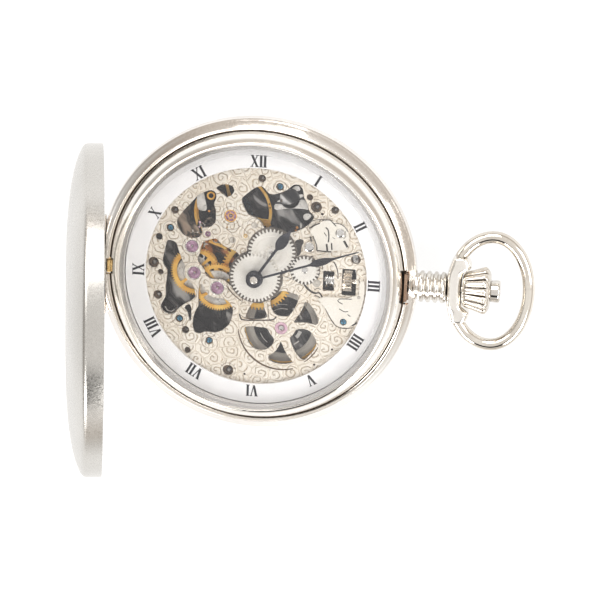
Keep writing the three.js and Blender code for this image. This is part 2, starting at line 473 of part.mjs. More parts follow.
put('balance_wheel', add(
  flat(circle(6.08, 28, ...BALANCE), -3.62, -3.22, spokes(3, 0.9, 5.62, 0.075, 106 * RAD, ...BALANCE)),
  disc(0.55, -3.3, -2.85, 12, ...BALANCE), disc(0.12, -4.6, -0.75, 8, ...BALANCE), disc(0.3, -4.1, -1.3, 10, ...BALANCE)), GOLD);
put('hairspring', spiral(0.55, 2.9, 3, 0.10, -3.98, -3.82, 12, ...BALANCE), STEEL);

// ---- bridges on the back
const pillar = (x, y, r, z0, z1) => disc(r, z0, z1, 10, x, y);
put('barrel_bridge', add(flat([
  [-2.6, -2.0], [-1.8, 2.4], [2.2, 3.4], [8.2, 4.4], [12.2, 2.6], [12.4, -2.6], [15.8, -3.0], [16.6, -6.8], [14.0, -11.2], [10.0, -14.8], [4.5, -17.2], [-1.0, -16.6], [-4.4, -13.6], [-5.2, -8.4], [-4.6, -4.6],
], -3.96, -3.46, [circle(0.50, 10, ...BARREL), circle(0.42, 8), circle(0.45, 8, ...CROWNW)]),
  pillar(13.9, -6.6, 0.8, -3.5, -1.10), pillar(-3.6, -11.7, 0.45, -3.5, -1.10), pillar(8.9, 3.7, 0.45, -3.5, -1.10)), NICKEL);
put('train_bridge', add(flat([
  [-3.4, -1.0], [-3.2, 0.8], [-6.8, 2.6], [-9.0, 4.6], [-8.7, 6.6], [-9.6, 6.9], [-11.4, 6.0], [-14.6, 6.4], [-16.0, 3.0], [-16.2, -2.0], [-14.4, -7.2], [-11.0, -9.0], [-6.0, -8.0], [-5.4, -4.6],
], -4.70, -4.05, [circle(0.17, 8, ...THIRD), circle(0.17, 8, ...FOURTH), circle(0.17, 8, ...ESCAPE)]),
  pillar(-15.1, 4.9, 0.7, -4.1, -1.10), pillar(-12.6, -7.6, 0.8, -4.1, -1.10)), NICKEL);
put('pallet_bridge', add(flat([[-8.7, 6.9], [-8.1, 5.6], [-6.6, 4.2], [-5.4, 4.3], [-5.5, 5.6], [-7.4, 7.5]], -3.15, -2.90, [circle(0.17, 8, ...PALLET)]),
  disc(0.35, -2.95, -1.10, 8, -6.1, 4.9)), NICKEL);
put('balance_cock', add(flat([
  [-5.4, 8.6], [-4.2, 8.1], [-3.0, 8.6], [0.5, 10.0], [5.2, 10.6], [7.6, 12.4], [6.6, 14.4], [3.0, 15.6], [-0.4, 13.2], [-3.2, 10.6], [-4.4, 10.7], [-5.4, 10.2],
], -4.85, -4.25, [circle(0.17, 8, ...BALANCE)]), disc(1.6, -4.3, -1.10, 12, 4.8, 12.6)), NICKEL);

// ---- winding wheels on the back of the barrel bridge
const mR = (2 * dist(BARREL, CROWNW)) / (T.ratchet + T.crownW), aBW = ang(BARREL, CROWNW);
put('ratchet_wheel', flat(teeth(T.ratchet, mR * T.ratchet / 2, mR, aBW, ...BARREL), -4.32, -4.04, [circle(0.46, 10, ...BARREL)]), GREY);
put('crown_wheel', cut(add(flat(teeth(T.crownW, mR * T.crownW / 2, mR, aBW + Math.PI + Math.PI / T.crownW, ...CROWNW), -4.32, -4.04),
  disc(0.38, -4.1, -3.3, 10, ...CROWNW)), disc(0.1, -4.5, -3, 6, ...CROWNW)), GREY);
put('click', cut(flat([[-3.55, -14.2], [-3.0, -13.3], [-1.75, -12.55], [-1.95, -12.2], [-3.6, -12.7], [-4.3, -13.9]], -4.32, -4.04), disc(0.2, -5, -3, 8, -3.6, -13.7)), GREY);

export default watch;
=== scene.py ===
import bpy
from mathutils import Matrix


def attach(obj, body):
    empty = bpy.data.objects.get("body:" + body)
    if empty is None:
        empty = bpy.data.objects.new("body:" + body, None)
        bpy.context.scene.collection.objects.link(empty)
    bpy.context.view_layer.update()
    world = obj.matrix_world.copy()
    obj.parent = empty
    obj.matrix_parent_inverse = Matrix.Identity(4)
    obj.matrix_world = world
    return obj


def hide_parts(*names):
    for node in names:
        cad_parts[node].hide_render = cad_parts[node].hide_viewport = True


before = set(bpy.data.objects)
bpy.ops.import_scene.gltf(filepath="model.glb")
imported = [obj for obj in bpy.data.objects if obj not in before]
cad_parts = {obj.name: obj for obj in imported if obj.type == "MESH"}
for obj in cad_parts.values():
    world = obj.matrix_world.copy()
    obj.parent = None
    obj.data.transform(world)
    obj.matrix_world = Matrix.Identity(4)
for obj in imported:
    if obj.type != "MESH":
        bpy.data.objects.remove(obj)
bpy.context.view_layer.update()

import math
import random
import bpy
import bmesh
from mathutils import Matrix, Vector

MM = 0.001
DZ = 8.0            # dial height above the back flat, mm
MID = -2.03
PI = math.pi
RAD = PI / 180
rnd = random.Random(7)

# ------------------------------------------------------------------ geometry
class G:
    """Vertices and faces in mm, z counted from the dial's top face."""

    def __init__(self):
        self.v, self.f, self.m = [], [], []

    def add(self, part, mat=0, M=None):
        v, f = part
        o = len(self.v)
        if M is not None:
            v = [tuple(M @ Vector(p)) for p in v]
        self.v += [tuple(p) for p in v]
        self.f += [tuple(i + o for i in q) for q in f]
        self.m += [mat] * len(f)
        return self


def rev(part):
    v, f = part
    return v, [tuple(reversed(q)) for q in f]


def lathe(prof, seg, axis="z", cx=0.0, cy=0.0, cz=MID, closed=True, a0=0.0, a1=None):
    """prof: (r, h) points. axis z: h is z. axis x: h is x, turning about y=cy, z=cz. axis y: h is y."""
    V, rows = [], []
    full = a1 is None
    n = seg if full else seg + 1
    span = 2 * PI if full else (a1 - a0)
    for r, h in prof:
        if abs(r) < 1e-7:
            V.append((0, 0, h)); rows.append([len(V) - 1] * n)
        else:
            row = []
            for i in range(n):
                t = a0 + span * i / seg
                V.append((r * math.cos(t), r * math.sin(t), h)); row.append(len(V) - 1)
            rows.append(row)
    F = []
    m = len(prof)
    for k in range(m if closed else m - 1):
        A, B = rows[k], rows[(k + 1) % m]
        for i in range(seg):
            j = (i + 1) % n
            q = []
            for w in (A[i], A[j], B[j], B[i]):
                if w not in q:
                    q.append(w)
            if len(q) > 2:
                F.append(tuple(q))
    if axis == "z":
        V = [(x + cx, y + cy, z) for x, y, z in V]
    elif axis == "x":
        V = [(z, x + cy, y + cz) for x, y, z in V]
    else:
        V = [(y + cx, z, x + cz) for x, y, z in V]
    return V, F


def fillet(prof, rad=0.1, n=3, closed=True, keep=()):
    out, m = [], len(prof)
    for i, p in enumerate(prof):
        if (not closed and i in (0, m - 1)) or i in keep:
            out.append(p); continue
        a, b = prof[i - 1], prof[(i + 1) % m]
        la = math.dist(a, p); lb = math.dist(b, p)
        r = rad[i] if isinstance(rad, (list, tuple)) else rad
        d = min(r, 0.42 * la, 0.42 * lb)
        if d < 1e-4:
            out.append(p); continue
        p0 = (p[0] + (a[0] - p[0]) * d / la, p[1] + (a[1] - p[1]) * d / la)
        p1 = (p[0] + (b[0] - p[0]) * d / lb, p[1] + (b[1] - p[1]) * d / lb)
        for k in range(n + 1):
            t = k / n
            out.append(tuple((1 - t) ** 2 * p0[c] + 2 * t * (1 - t) * p[c] + t * t * p1[c] for c in (0, 1)))
    return out


def chaikin(pts, it=2, q=0.25):
    for _ in range(it):
        out = []
        for i, p in enumerate(pts):
            b = pts[(i + 1) % len(pts)]
            out.append((p[0] * (1 - q) + b[0] * q, p[1] * (1 - q) + b[1] * q))
            out.append((p[0] * q + b[0] * (1 - q), p[1] * q + b[1] * (1 - q)))
        pts = out
    return pts


def circle(r, n=32, cx=0.0, cy=0.0, a0=0.0):
    return [(cx + r * math.cos(a0 + 2 * PI * i / n), cy + r * math.sin(a0 + 2 * PI * i / n)) for i in range(n)]


def catmull(pts, per=8, closed=False):
    out, n = [], len(pts)
    rng = range(n) if closed else range(n - 1)
    for i in rng:
        p1, p2 = pts[i], pts[(i + 1) % n]
        p0 = pts[i - 1] if (closed or i > 0) else pts[i]
        p3 = pts[(i + 2) % n] if (closed or i + 2 < n) else p2
        for k in range(per):
            t = k / per
            out.append(tuple(0.5 * (2 * p1[c] + (p2[c] - p0[c]) * t + (2 * p0[c] - 5 * p1[c] + 4 * p2[c] - p3[c]) * t * t
                                    + (3 * p1[c] - p0[c] - 3 * p2[c] + p3[c]) * t ** 3) for c in range(len(p1))))
    if not closed:
        out.append(tuple(pts[-1]))
    return out


def plate(outline, holes=(), z0=0.0, z1=1.0, bevel=0.04, res=1, extra=()):
    """Flat piece with bevelled edges. extra: more outlines that aren't holes of the first."""
    cu = bpy.data.curves.new("tmp", "CURVE")
    cu.dimensions = "2D"
    cu.fill_mode = "BOTH"
    h = (z1 - z0) / 2
    b = min(bevel, 0.45 * (z1 - z0))
    cu.extrude = h - b
    cu.bevel_depth = b
    cu.bevel_resolution = res
    cu.offset = -b
    for loop in [outline, *holes, *extra]:
        sp = cu.splines.new("POLY")
        sp.points.add(len(loop) - 1)
        for p, q in zip(sp.points, loop):
            p.co = (q[0], q[1], 0, 1)
        sp.use_cyclic_u = True
    ob = bpy.data.objects.new("tmp", cu)
    bpy.context.scene.collection.objects.link(ob)
    dg = bpy.context.evaluated_depsgraph_get()
    me = bpy.data.meshes.new_from_object(ob.evaluated_get(dg))
    zc = (z0 + z1) / 2
    V = [(v.co.x, v.co.y, v.co.z + zc) for v in me.vertices]
    F = [tuple(p.vertices) for p in me.polygons]
    bpy.data.objects.remove(ob); bpy.data.curves.remove(cu); bpy.data.meshes.remove(me)
    return V, F


def disc(r, z0, z1, cx=0.0, cy=0.0, n=32, bev=0.05, bore=0.0):
    if bore > 0:
        p = fillet([(bore, z0), (r, z0), (r, z1), (bore, z1)], bev, 2)
        return lathe(p, n, cx=cx, cy=cy)
    p = [(0, z0)] + fillet([(0, z0), (r, z0), (r, z1), (0, z1)], bev, 3, closed=False)[1:-1] + [(0, z1)]
    return lathe(p, n, cx=cx, cy=cy, closed=False)


def rod(axis, r, h0, h1, n=24, bev=0.05, c=(0.0, 0.0)):
    p = [(0, h0)] + fillet([(0, h0), (r, h0), (r, h1), (0, h1)], bev, 2, closed=False)[1:-1] + [(0, h1)]
    if axis == "x":
        return lathe(p, n, "x", cy=c[0], cz=c[1], closed=False)
    return lathe(p, n, "y", cx=c[0], cz=c[1], closed=False)


def box(x0, x1, y0, y1, z0, z1, bev=0.06):
    v = plate([(x0, y0), (x1, y0), (x1, y1), (x0, y1)], (), z0, z1, bev)
    return v


def tube(path, radius, seg=16, up=(0, 0, 1), cap=True, section=None):
    """Swept tube; radius may be a list, section (a, b) scales across/up."""
    P = [Vector(p) for p in path]
    up = Vector(up)
    V, F = [], []
    n = len(P)
    sa, sb = section or (1, 1)
    for i, p in enumerate(P):
        t = (P[min(i + 1, n - 1)] - P[max(i - 1, 0)]).normalized()
        s = t.cross(up).normalized()
        u = s.cross(t).normalized()
        r = radius[i] if isinstance(radius, (list, tuple)) else radius
        for k in range(seg):
            a = 2 * PI * k / seg
            V.append(tuple(p + s * (r * sa * math.cos(a)) + u * (r * sb * math.sin(a))))
    for i in range(n - 1):
        for k in range(seg):
            j = (k + 1) % seg
            F.append((i * seg + k, i * seg + j, (i + 1) * seg + j, (i + 1) * seg + k))
    if cap:
        F.append(tuple(range(seg - 1, -1, -1)))
        F.append(tuple((n - 1) * seg + k for k in range(seg)))
    return V, F


def ribbon(path2, w, z0, z1, bev=0.0):
    """Flat strip of width w along a 2D path."""
    L, R = [], []
    n = len(path2)
    for i, p in enumerate(path2):
        a, b = path2[max(i - 1, 0)], path2[min(i + 1, n - 1)]
        dx, dy = b[0] - a[0], b[1] - a[1]
        l = math.hypot(dx, dy) or 1
        ww = (w[i] if isinstance(w, (list, tuple)) else w) / 2
        L.append((p[0] - dy / l * ww, p[1] + dx / l * ww)); R.append((p[0] + dy / l * ww, p[1] - dx / l * ww))
    V = [(*p, z1) for p in L] + [(*p, z1) for p in R] + [(*p, z0) for p in L] + [(*p, z0) for p in R]
    F = []
    for i in range(n - 1):
        F += [(i, n + i, n + i + 1, i + 1), (2 * n + i, 2 * n + i + 1, 3 * n + i + 1, 3 * n + i),
              (i, i + 1, 2 * n + i + 1, 2 * n + i), (n + i, 3 * n + i, 3 * n + i + 1, n + i + 1)]
    F += [(0, 2 * n, 3 * n, n), (n - 1, 2 * n - 1, 4 * n - 1, 3 * n - 1)]
    return V, F


def gear(n, rp, m, tip, cx, cy, up=0.55, down=0.95, w=0.46):
    """Outline with rounded teeth."""
    out = []
    st = 2 * PI / n
    for i in range(n):
        a = tip + i * st
        for da, rr in ((-0.5 * w - 0.06, -down), (-0.42 * w, -0.25), (-0.26 * w, 0.30), (0, up), (0.26 * w, 0.30), (0.42 * w, -0.25), (0.5 * w + 0.06, -down)):
            r = rp + rr * m
            out.append((cx + r * math.cos(a + da * st), cy + r * math.sin(a + da * st)))
    return out


def sector(r0, r1, a0, a1, cx, cy, n=10, soft=True):
    o = [(cx + r1 * math.cos(a0 + (a1 - a0) * i / n), cy + r1 * math.sin(a0 + (a1 - a0) * i / n)) for i in range(n + 1)]
    o += [(cx + r0 * math.cos(a1 + (a0 - a1) * i / n), cy + r0 * math.sin(a1 + (a0 - a1) * i / n)) for i in range(n + 1)]
    return chaikin(o, 1, 0.2) if soft else o


def spokes(count, r0, r1, half, phase, cx, cy):
    """Openings between arms of constant width (2*half in mm)."""
    out = []
    for i in range(count):
        a = phase + 2 * PI * i / count
        b = a + 2 * PI / count
        o = []
        n = 12
        A0, A1 = a + math.asin(half / r1), b - math.asin(half / r1)
        B0, B1 = a + math.asin(min(0.98, half / r0)), b - math.asin(min(0.98, half / r0))
        if B1 <= B0:
            B0 = B1 = (a + b) / 2
        o += [(cx + r1 * math.cos(A0 + (A1 - A0) * k / n), cy + r1 * math.sin(A0 + (A1 - A0) * k / n)) for k in range(n + 1)]
        o += [(cx + r0 * math.cos(B1 + (B0 - B1) * k / 4), cy + r0 * math.sin(B1 + (B0 - B1) * k / 4)) for k in range(5)]
        clean = []
        for p in o:
            if not clean or math.dist(p, clean[-1]) > 1e-3:
                clean.append(p)
        out.append(chaikin(clean, 1, 0.25))
    return out


def cutting(g, cutters):
    """Boolean difference of G with G cutters."""
    base = g_obj("cut_base", g)
    for c in cutters:
        t = g_obj("cut_tool", c)
        md = base.modifiers.new("b", "BOOLEAN")
        md.operation = "DIFFERENCE"; md.solver = "EXACT"; md.object = t
        dg = bpy.context.evaluated_depsgraph_get()
        me = bpy.data.meshes.new_from_object(base.evaluated_get(dg))
        base.modifiers.clear()
        old = base.data; base.data = me; bpy.data.meshes.remove(old)
        d = t.data; bpy.data.objects.remove(t); bpy.data.meshes.remove(d)
    me = base.data
    out = G()
    out.v = [tuple(v.co) for v in me.vertices]
    out.f = [tuple(p.vertices) for p in me.polygons]
    out.m = [0] * len(out.f)
    bpy.data.objects.remove(base); bpy.data.meshes.remove(me)
    return out


def g_obj(name, g):
    me = bpy.data.meshes.new(name)
    me.from_pydata(g.v, [], g.f)
    bm = bmesh.new(); bm.from_mesh(me)
    bmesh.ops.remove_doubles(bm, verts=bm.verts, dist=1e-5)
    bmesh.ops.recalc_face_normals(bm, faces=bm.faces)
    bm.to_mesh(me); bm.free()
    ob = bpy.data.objects.new(name, me)
    bpy.context.scene.collection.objects.link(ob)
    return ob


def make(name, g, mats, body, nodes=(), smooth=35, fixn=True):
    me = bpy.data.meshes.new(name)
    me.from_pydata([(x * MM, y * MM, (z + DZ) * MM) for x, y, z in g.v], [], g.f)
    if not isinstance(mats, (list, tuple)):
        mats = [mats]
    for m in mats:
        me.materials.append(m)
    if len(mats) > 1:
        me.polygons.foreach_set("material_index", g.m)
    me.update()
    if fixn:
        bm = bmesh.new(); bm.from_mesh(me)
        bmesh.ops.recalc_face_normals(bm, faces=bm.faces)
        bm.to_mesh(me); bm.free()
    me.polygons.foreach_set("use_smooth", [True] * len(me.polygons))
    me.set_sharp_from_angle(angle=math.radians(smooth))
    ob = bpy.data.objects.new(name, me)
    bpy.context.scene.collection.objects.link(ob)
    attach(ob, body)
    if nodes:
        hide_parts(*nodes)
    return ob


# ----------------------------------------------------------------- materials
def new_mat(name):
    m = bpy.data.materials.new(name)
    m.use_nodes = True
    nt = m.node_tree
    return m, nt, nt.nodes["Principled BSDF"]


def N(nt, kind, **kw):
    n = nt.nodes.new(kind)
    for k, v in kw.items():
        if k.startswith("i_"):
            key = k[2:]
            key = int(key) if key.isdigit() else key.replace("_", " ")
            n.inputs[key].default_value = v
        else:
            setattr(n, k, v)
    return n


def math_n(nt, op, a, b=None, clamp=False):
    n = nt.nodes.new("ShaderNodeMath"); n.operation = op; n.use_clamp = clamp
    for i, x in enumerate((a, b)):
        if x is None:
            continue
        if isinstance(x, (int, float)):
            n.inputs[i].default_value = x
        else:
            nt.links.new(x, n.inputs[i])
    return n.outputs[0]


def coords(nt, scale=(1000, 1000, 1000), loc=(0, 0, 0), rot=(0, 0, 0)):
    tc = N(nt, "ShaderNodeTexCoord")
    mp = N(nt, "ShaderNodeMapping")
    mp.inputs["Scale"].default_value = scale
    mp.inputs["Location"].default_value = loc
    mp.inputs["Rotation"].default_value = rot
    nt.links.new(tc.outputs["Object"], mp.inputs["Vector"])
    return mp.outputs[0]


def noise(nt, vec, scale, detail=3.0, rough=0.5, dim="3D"):
    n = N(nt, "ShaderNodeTexNoise", noise_dimensions=dim)
    n.inputs["Scale"].default_value = scale
    n.inputs["Detail"].default_value = detail
    n.inputs["Roughness"].default_value = rough
    nt.links.new(vec, n.inputs["Vector"])
    return n.outputs["Fac"]


def ramp(nt, fac, stops):
    r = N(nt, "ShaderNodeValToRGB")
    el = r.color_ramp.elements
    while len(el) > 1:
        el.remove(el[-1])
    el[0].position, el[0].color = stops[0][0], (*stops[0][1], 1)
    for p, c in stops[1:]:
        e = el.new(p); e.color = (*c, 1)
    nt.links.new(fac, r.inputs[0])
    return r.outputs["Color"]


def maprange(nt, v, a, b, c, d):
    m = N(nt, "ShaderNodeMapRange")
    nt.links.new(v, m.inputs["Value"])
    for k, x in zip(("From Min", "From Max", "To Min", "To Max"), (a, b, c, d)):
        m.inputs[k].default_value = x
    return m.outputs["Result"]


def bump(nt, bs, height, strength, dist=0.00002, prev=None):
    b = N(nt, "ShaderNodeBump")
    b.inputs["Strength"].default_value = strength
    b.inputs["Distance"].default_value = dist
    nt.links.new(height, b.inputs["Height"])
    if prev is not None:
        nt.links.new(prev, b.inputs["Normal"])
    return b.outputs["Normal"]


def metal(name, a, b, rough=(0.1, 0.2), grain="none", gscale=18.0, gdepth=0.12, centre=(0, 0), axis="z",
          blotch=0.12, scratch=0.04, metallic=1.0, wear=None, spec=0.5, coat=0.0):
    """a, b: two tones of the metal. grain: none, line (along X), turned (rings about centre)."""
    m, nt, bs = new_mat(name)
    v = coords(nt)
    big = noise(nt, v, blotch, 2.0)
    fine = noise(nt, v, 2.6, 4.0, 0.6)
    mixf = math_n(nt, "ADD", math_n(nt, "MULTIPLY", big, 0.7), math_n(nt, "MULTIPLY", fine, 0.3))
    col = ramp(nt, mixf, [(0.38, a), (0.62, b)])
    # grain
    if grain == "line":
        gv = coords(nt, (60, 1000, 1000))
        gr = noise(nt, gv, gscale, 2.0, 0.7)
    elif grain == "turned":
        c = coords(nt, loc=(-centre[0], -centre[1], 0))
        sep = N(nt, "ShaderNodeSeparateXYZ"); nt.links.new(c, sep.inputs[0])
        k = {"z": (0, 1), "x": (1, 2), "y": (0, 2)}[axis]
        r = math_n(nt, "SQRT", math_n(nt, "ADD", math_n(nt, "MULTIPLY", sep.outputs[k[0]], sep.outputs[k[0]]),
                                     math_n(nt, "MULTIPLY", sep.outputs[k[1]], sep.outputs[k[1]])))
        cx = N(nt, "ShaderNodeCombineXYZ"); nt.links.new(r, cx.inputs[0])
        gr = noise(nt, cx.outputs[0], gscale, 3.0, 0.75)
    else:
        gr = noise(nt, v, gscale, 4.0, 0.7)
    # fine scratches
    sv = coords(nt, (900, 60, 900), rot=(0, 0, 0.7))
    sc = noise(nt, sv, 9.0, 2.0, 0.6)
    rr = math_n(nt, "ADD", maprange(nt, fine, 0.3, 0.7, rough[0], rough[1]), math_n(nt, "MULTIPLY", math_n(nt, "SUBTRACT", gr, 0.5), 0.12), clamp=True)
    nt.links.new(rr, bs.inputs["Roughness"])
    if wear is not None:
        geo = N(nt, "ShaderNodeNewGeometry")
        w = maprange(nt, geo.outputs["Pointiness"], 0.52, 0.58, 0.0, 1.0)
        mx = N(nt, "ShaderNodeMix", data_type="RGBA")
        nt.links.new(w, mx.inputs[0]); nt.links.new(col, mx.inputs[6]); mx.inputs[7].default_value = (*wear, 1)
        col = mx.outputs[2]
    nt.links.new(col, bs.inputs["Base Color"])
    bs.inputs["Metallic"].default_value = metallic
    bs.inputs["Specular IOR Level"].default_value = spec
    if coat:
        bs.inputs["Coat Weight"].default_value = coat
        bs.inputs["Coat Roughness"].default_value = 0.05
    n1 = bump(nt, bs, gr, gdepth, 0.00001)
    n2 = bump(nt, bs, sc, scratch, 0.00001, n1)
    nt.links.new(n2, bs.inputs["Normal"])
    return m


CHROME = metal("chrome_case", (0.80, 0.765, 0.73), (0.90, 0.875, 0.845), (0.09, 0.16), "turned", 14.0, 0.05, scratch=0.03, blotch=0.06)
CHROME_LID = metal("chrome_lid", (0.57, 0.555, 0.53), (0.67, 0.655, 0.63), (0.25, 0.31), "none", 3.0, 0.008, scratch=0.02, blotch=0.05)
CHROME_BZ = metal("chrome_bezel", (0.84, 0.81, 0.77), (0.91, 0.885, 0.85), (0.10, 0.17), "turned", 12.0, 0.05, scratch=0.02, blotch=0.06)
CHROME_BOW = metal("chrome_bow", (0.67, 0.625, 0.565), (0.81, 0.77, 0.71), (0.05, 0.10), "none", 6.0, 0.04, scratch=0.03, blotch=0.2)
CHROME_X = metal("chrome_turned_x", (0.64, 0.61, 0.57), (0.80, 0.775, 0.735), (0.08, 0.15), "turned", 20.0, 0.08, centre=(0, 0), axis="x", blotch=0.3)
STEEL = metal("steel_turned", (0.52, 0.51, 0.50), (0.74, 0.73, 0.71), (0.18, 0.30), "none", 10.0, 0.12, blotch=0.8)
POLISH = metal("steel_polished", (0.72, 0.70, 0.67), (0.88, 0.87, 0.85), (0.06, 0.14), "none", 5.0, 0.04, blotch=0.8)
def painted_depths(name, tint, scale=0.34, lift=1.0):
    """Dark polished parts deep in the movement: near-black painted shade with soft grey and white streaks of painted
    reflection.
    """
    m, nt, bs = new_mat(name)
    v = coords(nt, rot=(0, 0, 0.9))
    st = N(nt, "ShaderNodeMapping"); st.inputs["Scale"].default_value = (1.0, 2.0, 1.0)
    nt.links.new(v, st.inputs["Vector"])
    n1 = N(nt, "ShaderNodeTexNoise"); n1.inputs["Scale"].default_value = scale; n1.inputs["Detail"].default_value = 0.6
    n1.inputs["Roughness"].default_value = 0.55; n1.inputs["Distortion"].default_value = 0.35
    nt.links.new(st.outputs["Vector"], n1.inputs["Vector"])
    f = n1.outputs[0]
    col = ramp(nt, f, [(0.30, (0.006, 0.006, 0.008)), (0.46, (0.018, 0.018, 0.020)), (0.53, tuple(0.11 * lift * t for t in tint)), (0.565, (0.020, 0.020, 0.022)),
                       (0.63, tuple(0.30 * lift * t for t in tint)), (0.72, tuple(0.75 * lift * t for t in tint))])
    nt.links.new(col, bs.inputs["Base Color"])
    bs.inputs["Metallic"].default_value = 0.2
    nt.links.new(maprange(nt, f, 0.3, 0.7, 0.42, 0.22), bs.inputs["Roughness"])
    bs.inputs["Specular IOR Level"].default_value = 0.35
    return m


DARKS = painted_depths("interior_dark_painted_shade_reflections", (1.0, 0.985, 0.97))
AMBD = painted_depths("interior_amber_painted_shade_reflections", (1.25, 0.52, 0.16), 0.36, 1.3)
BROWND = painted_depths("interior_brown_painted_shade_reflections", (1.15, 0.92, 0.72), 0.30, 1.15)
AMBER = metal("interior_amber", (0.020, 0.010, 0.006), (0.20, 0.085, 0.025), (0.2, 0.35), "none", 6.0, 0.15, blotch=1.1, metallic=0.6)
BAND = metal("barrel_band", (0.46, 0.43, 0.385), (0.58, 0.545, 0.495), (0.4, 0.5), "none", 10.0, 0.06, metallic=0.3)
GREYL = metal("bridge_bright", (0.55, 0.53, 0.50), (0.86, 0.84, 0.81), (0.25, 0.4), "line", 12.0, 0.08, blotch=0.6, metallic=0.5)
GREYM = metal("bridge_middle", (0.10, 0.10, 0.105), (0.22, 0.215, 0.215), (0.25, 0.4), "line", 12.0, 0.10, blotch=0.6, metallic=0.6)
GREYS = metal("bridge_grey", (0.16, 0.155, 0.15), (0.42, 0.40, 0.38), (0.24, 0.36), "line", 14.0, 0.18, blotch=0.3)
WALL = metal("window_wall", (0.20, 0.18, 0.16), (0.42, 0.39, 0.36), (0.35, 0.5), "none", 8.0, 0.10, metallic=0.6)
GUN = metal("hand_steel", (0.012, 0.013, 0.019), (0.045, 0.048, 0.062), (0.3, 0.42), "line", 22.0, 0.10, metallic=0.4, wear=(0.07, 0.07, 0.085), spec=0.3)
BLUE = metal("blued_steel", (0.012, 0.065, 0.12), (0.035, 0.15, 0.25), (0.22, 0.34), "none", 9.0, 0.1, metallic=0.85, wear=(0.12, 0.30, 0.42))
BRASS = metal("brass_plain", (0.55, 0.38, 0.18), (0.78, 0.58, 0.30), (0.2, 0.34), "none", 8.0, 0.14, blotch=0.9)


def turned_metal(name, a, b, c, rough=(0.16, 0.26), depth=0.16, wear=None, metallic=1.0):
    return metal(name, a, b, rough, "turned", 26.0, depth, centre=c, blotch=0.5, wear=wear, metallic=metallic)


C0 = (0.0, 0.0)
BARREL, THIRD, FOURTH, ESCAPE = (4.20, -8.05), (-6.00, -2.30), (-9.70, -0.12), (-10.15, 4.10)
PALLET, BALANCE, MINUTE, SETTING, CROWNW = (-7.70, 6.25), (-4.20, 9.40), (2.40, 4.15), (7.62, 1.62), (11.0, 0.0)
GA, GB = (0.84, 0.45, 0.085), (0.98, 0.66, 0.19)
GOLD_C = turned_metal("gilt_centre", GA, GB, C0, (0.3, 0.42), metallic=0.7)
GOLD_3 = turned_metal("gilt_third", GA, GB, THIRD, (0.3, 0.42), metallic=0.7)
GOLD_4 = turned_metal("gilt_fourth", GA, GB, FOURTH, (0.3, 0.42), metallic=0.7)
GOLD_B = turned_metal("gilt_balance", (0.90, 0.48, 0.09), (1.0, 0.68, 0.22), BALANCE, (0.3, 0.4), metallic=0.7)
NK_A, NK_B = (0.84, 0.81, 0.755), (0.93, 0.905, 0.86)
NICK_H = turned_metal("nickel_hour", NK_A, NK_B, C0, (0.3, 0.42), 0.2, metallic=0.35)
NICK_M = turned_metal("nickel_minute", NK_A, NK_B, MINUTE, (0.3, 0.42), 0.2, metallic=0.35)
NICK_S = turned_metal("nickel_setting", NK_A, NK_B, SETTING, (0.3, 0.42), 0.2, metallic=0.35)
NICK_R = turned_metal("steel_ratchet", (0.45, 0.44, 0.43), (0.66, 0.65, 0.63), BARREL)
NICK_W = turned_metal("steel_crown_wheel", (0.45, 0.44, 0.43), (0.66, 0.65, 0.63), CROWNW)
DRUM = turned_metal("drum_dark", (0.10, 0.095, 0.09), (0.26, 0.25, 0.24), BARREL, (0.2, 0.34), 0.3)


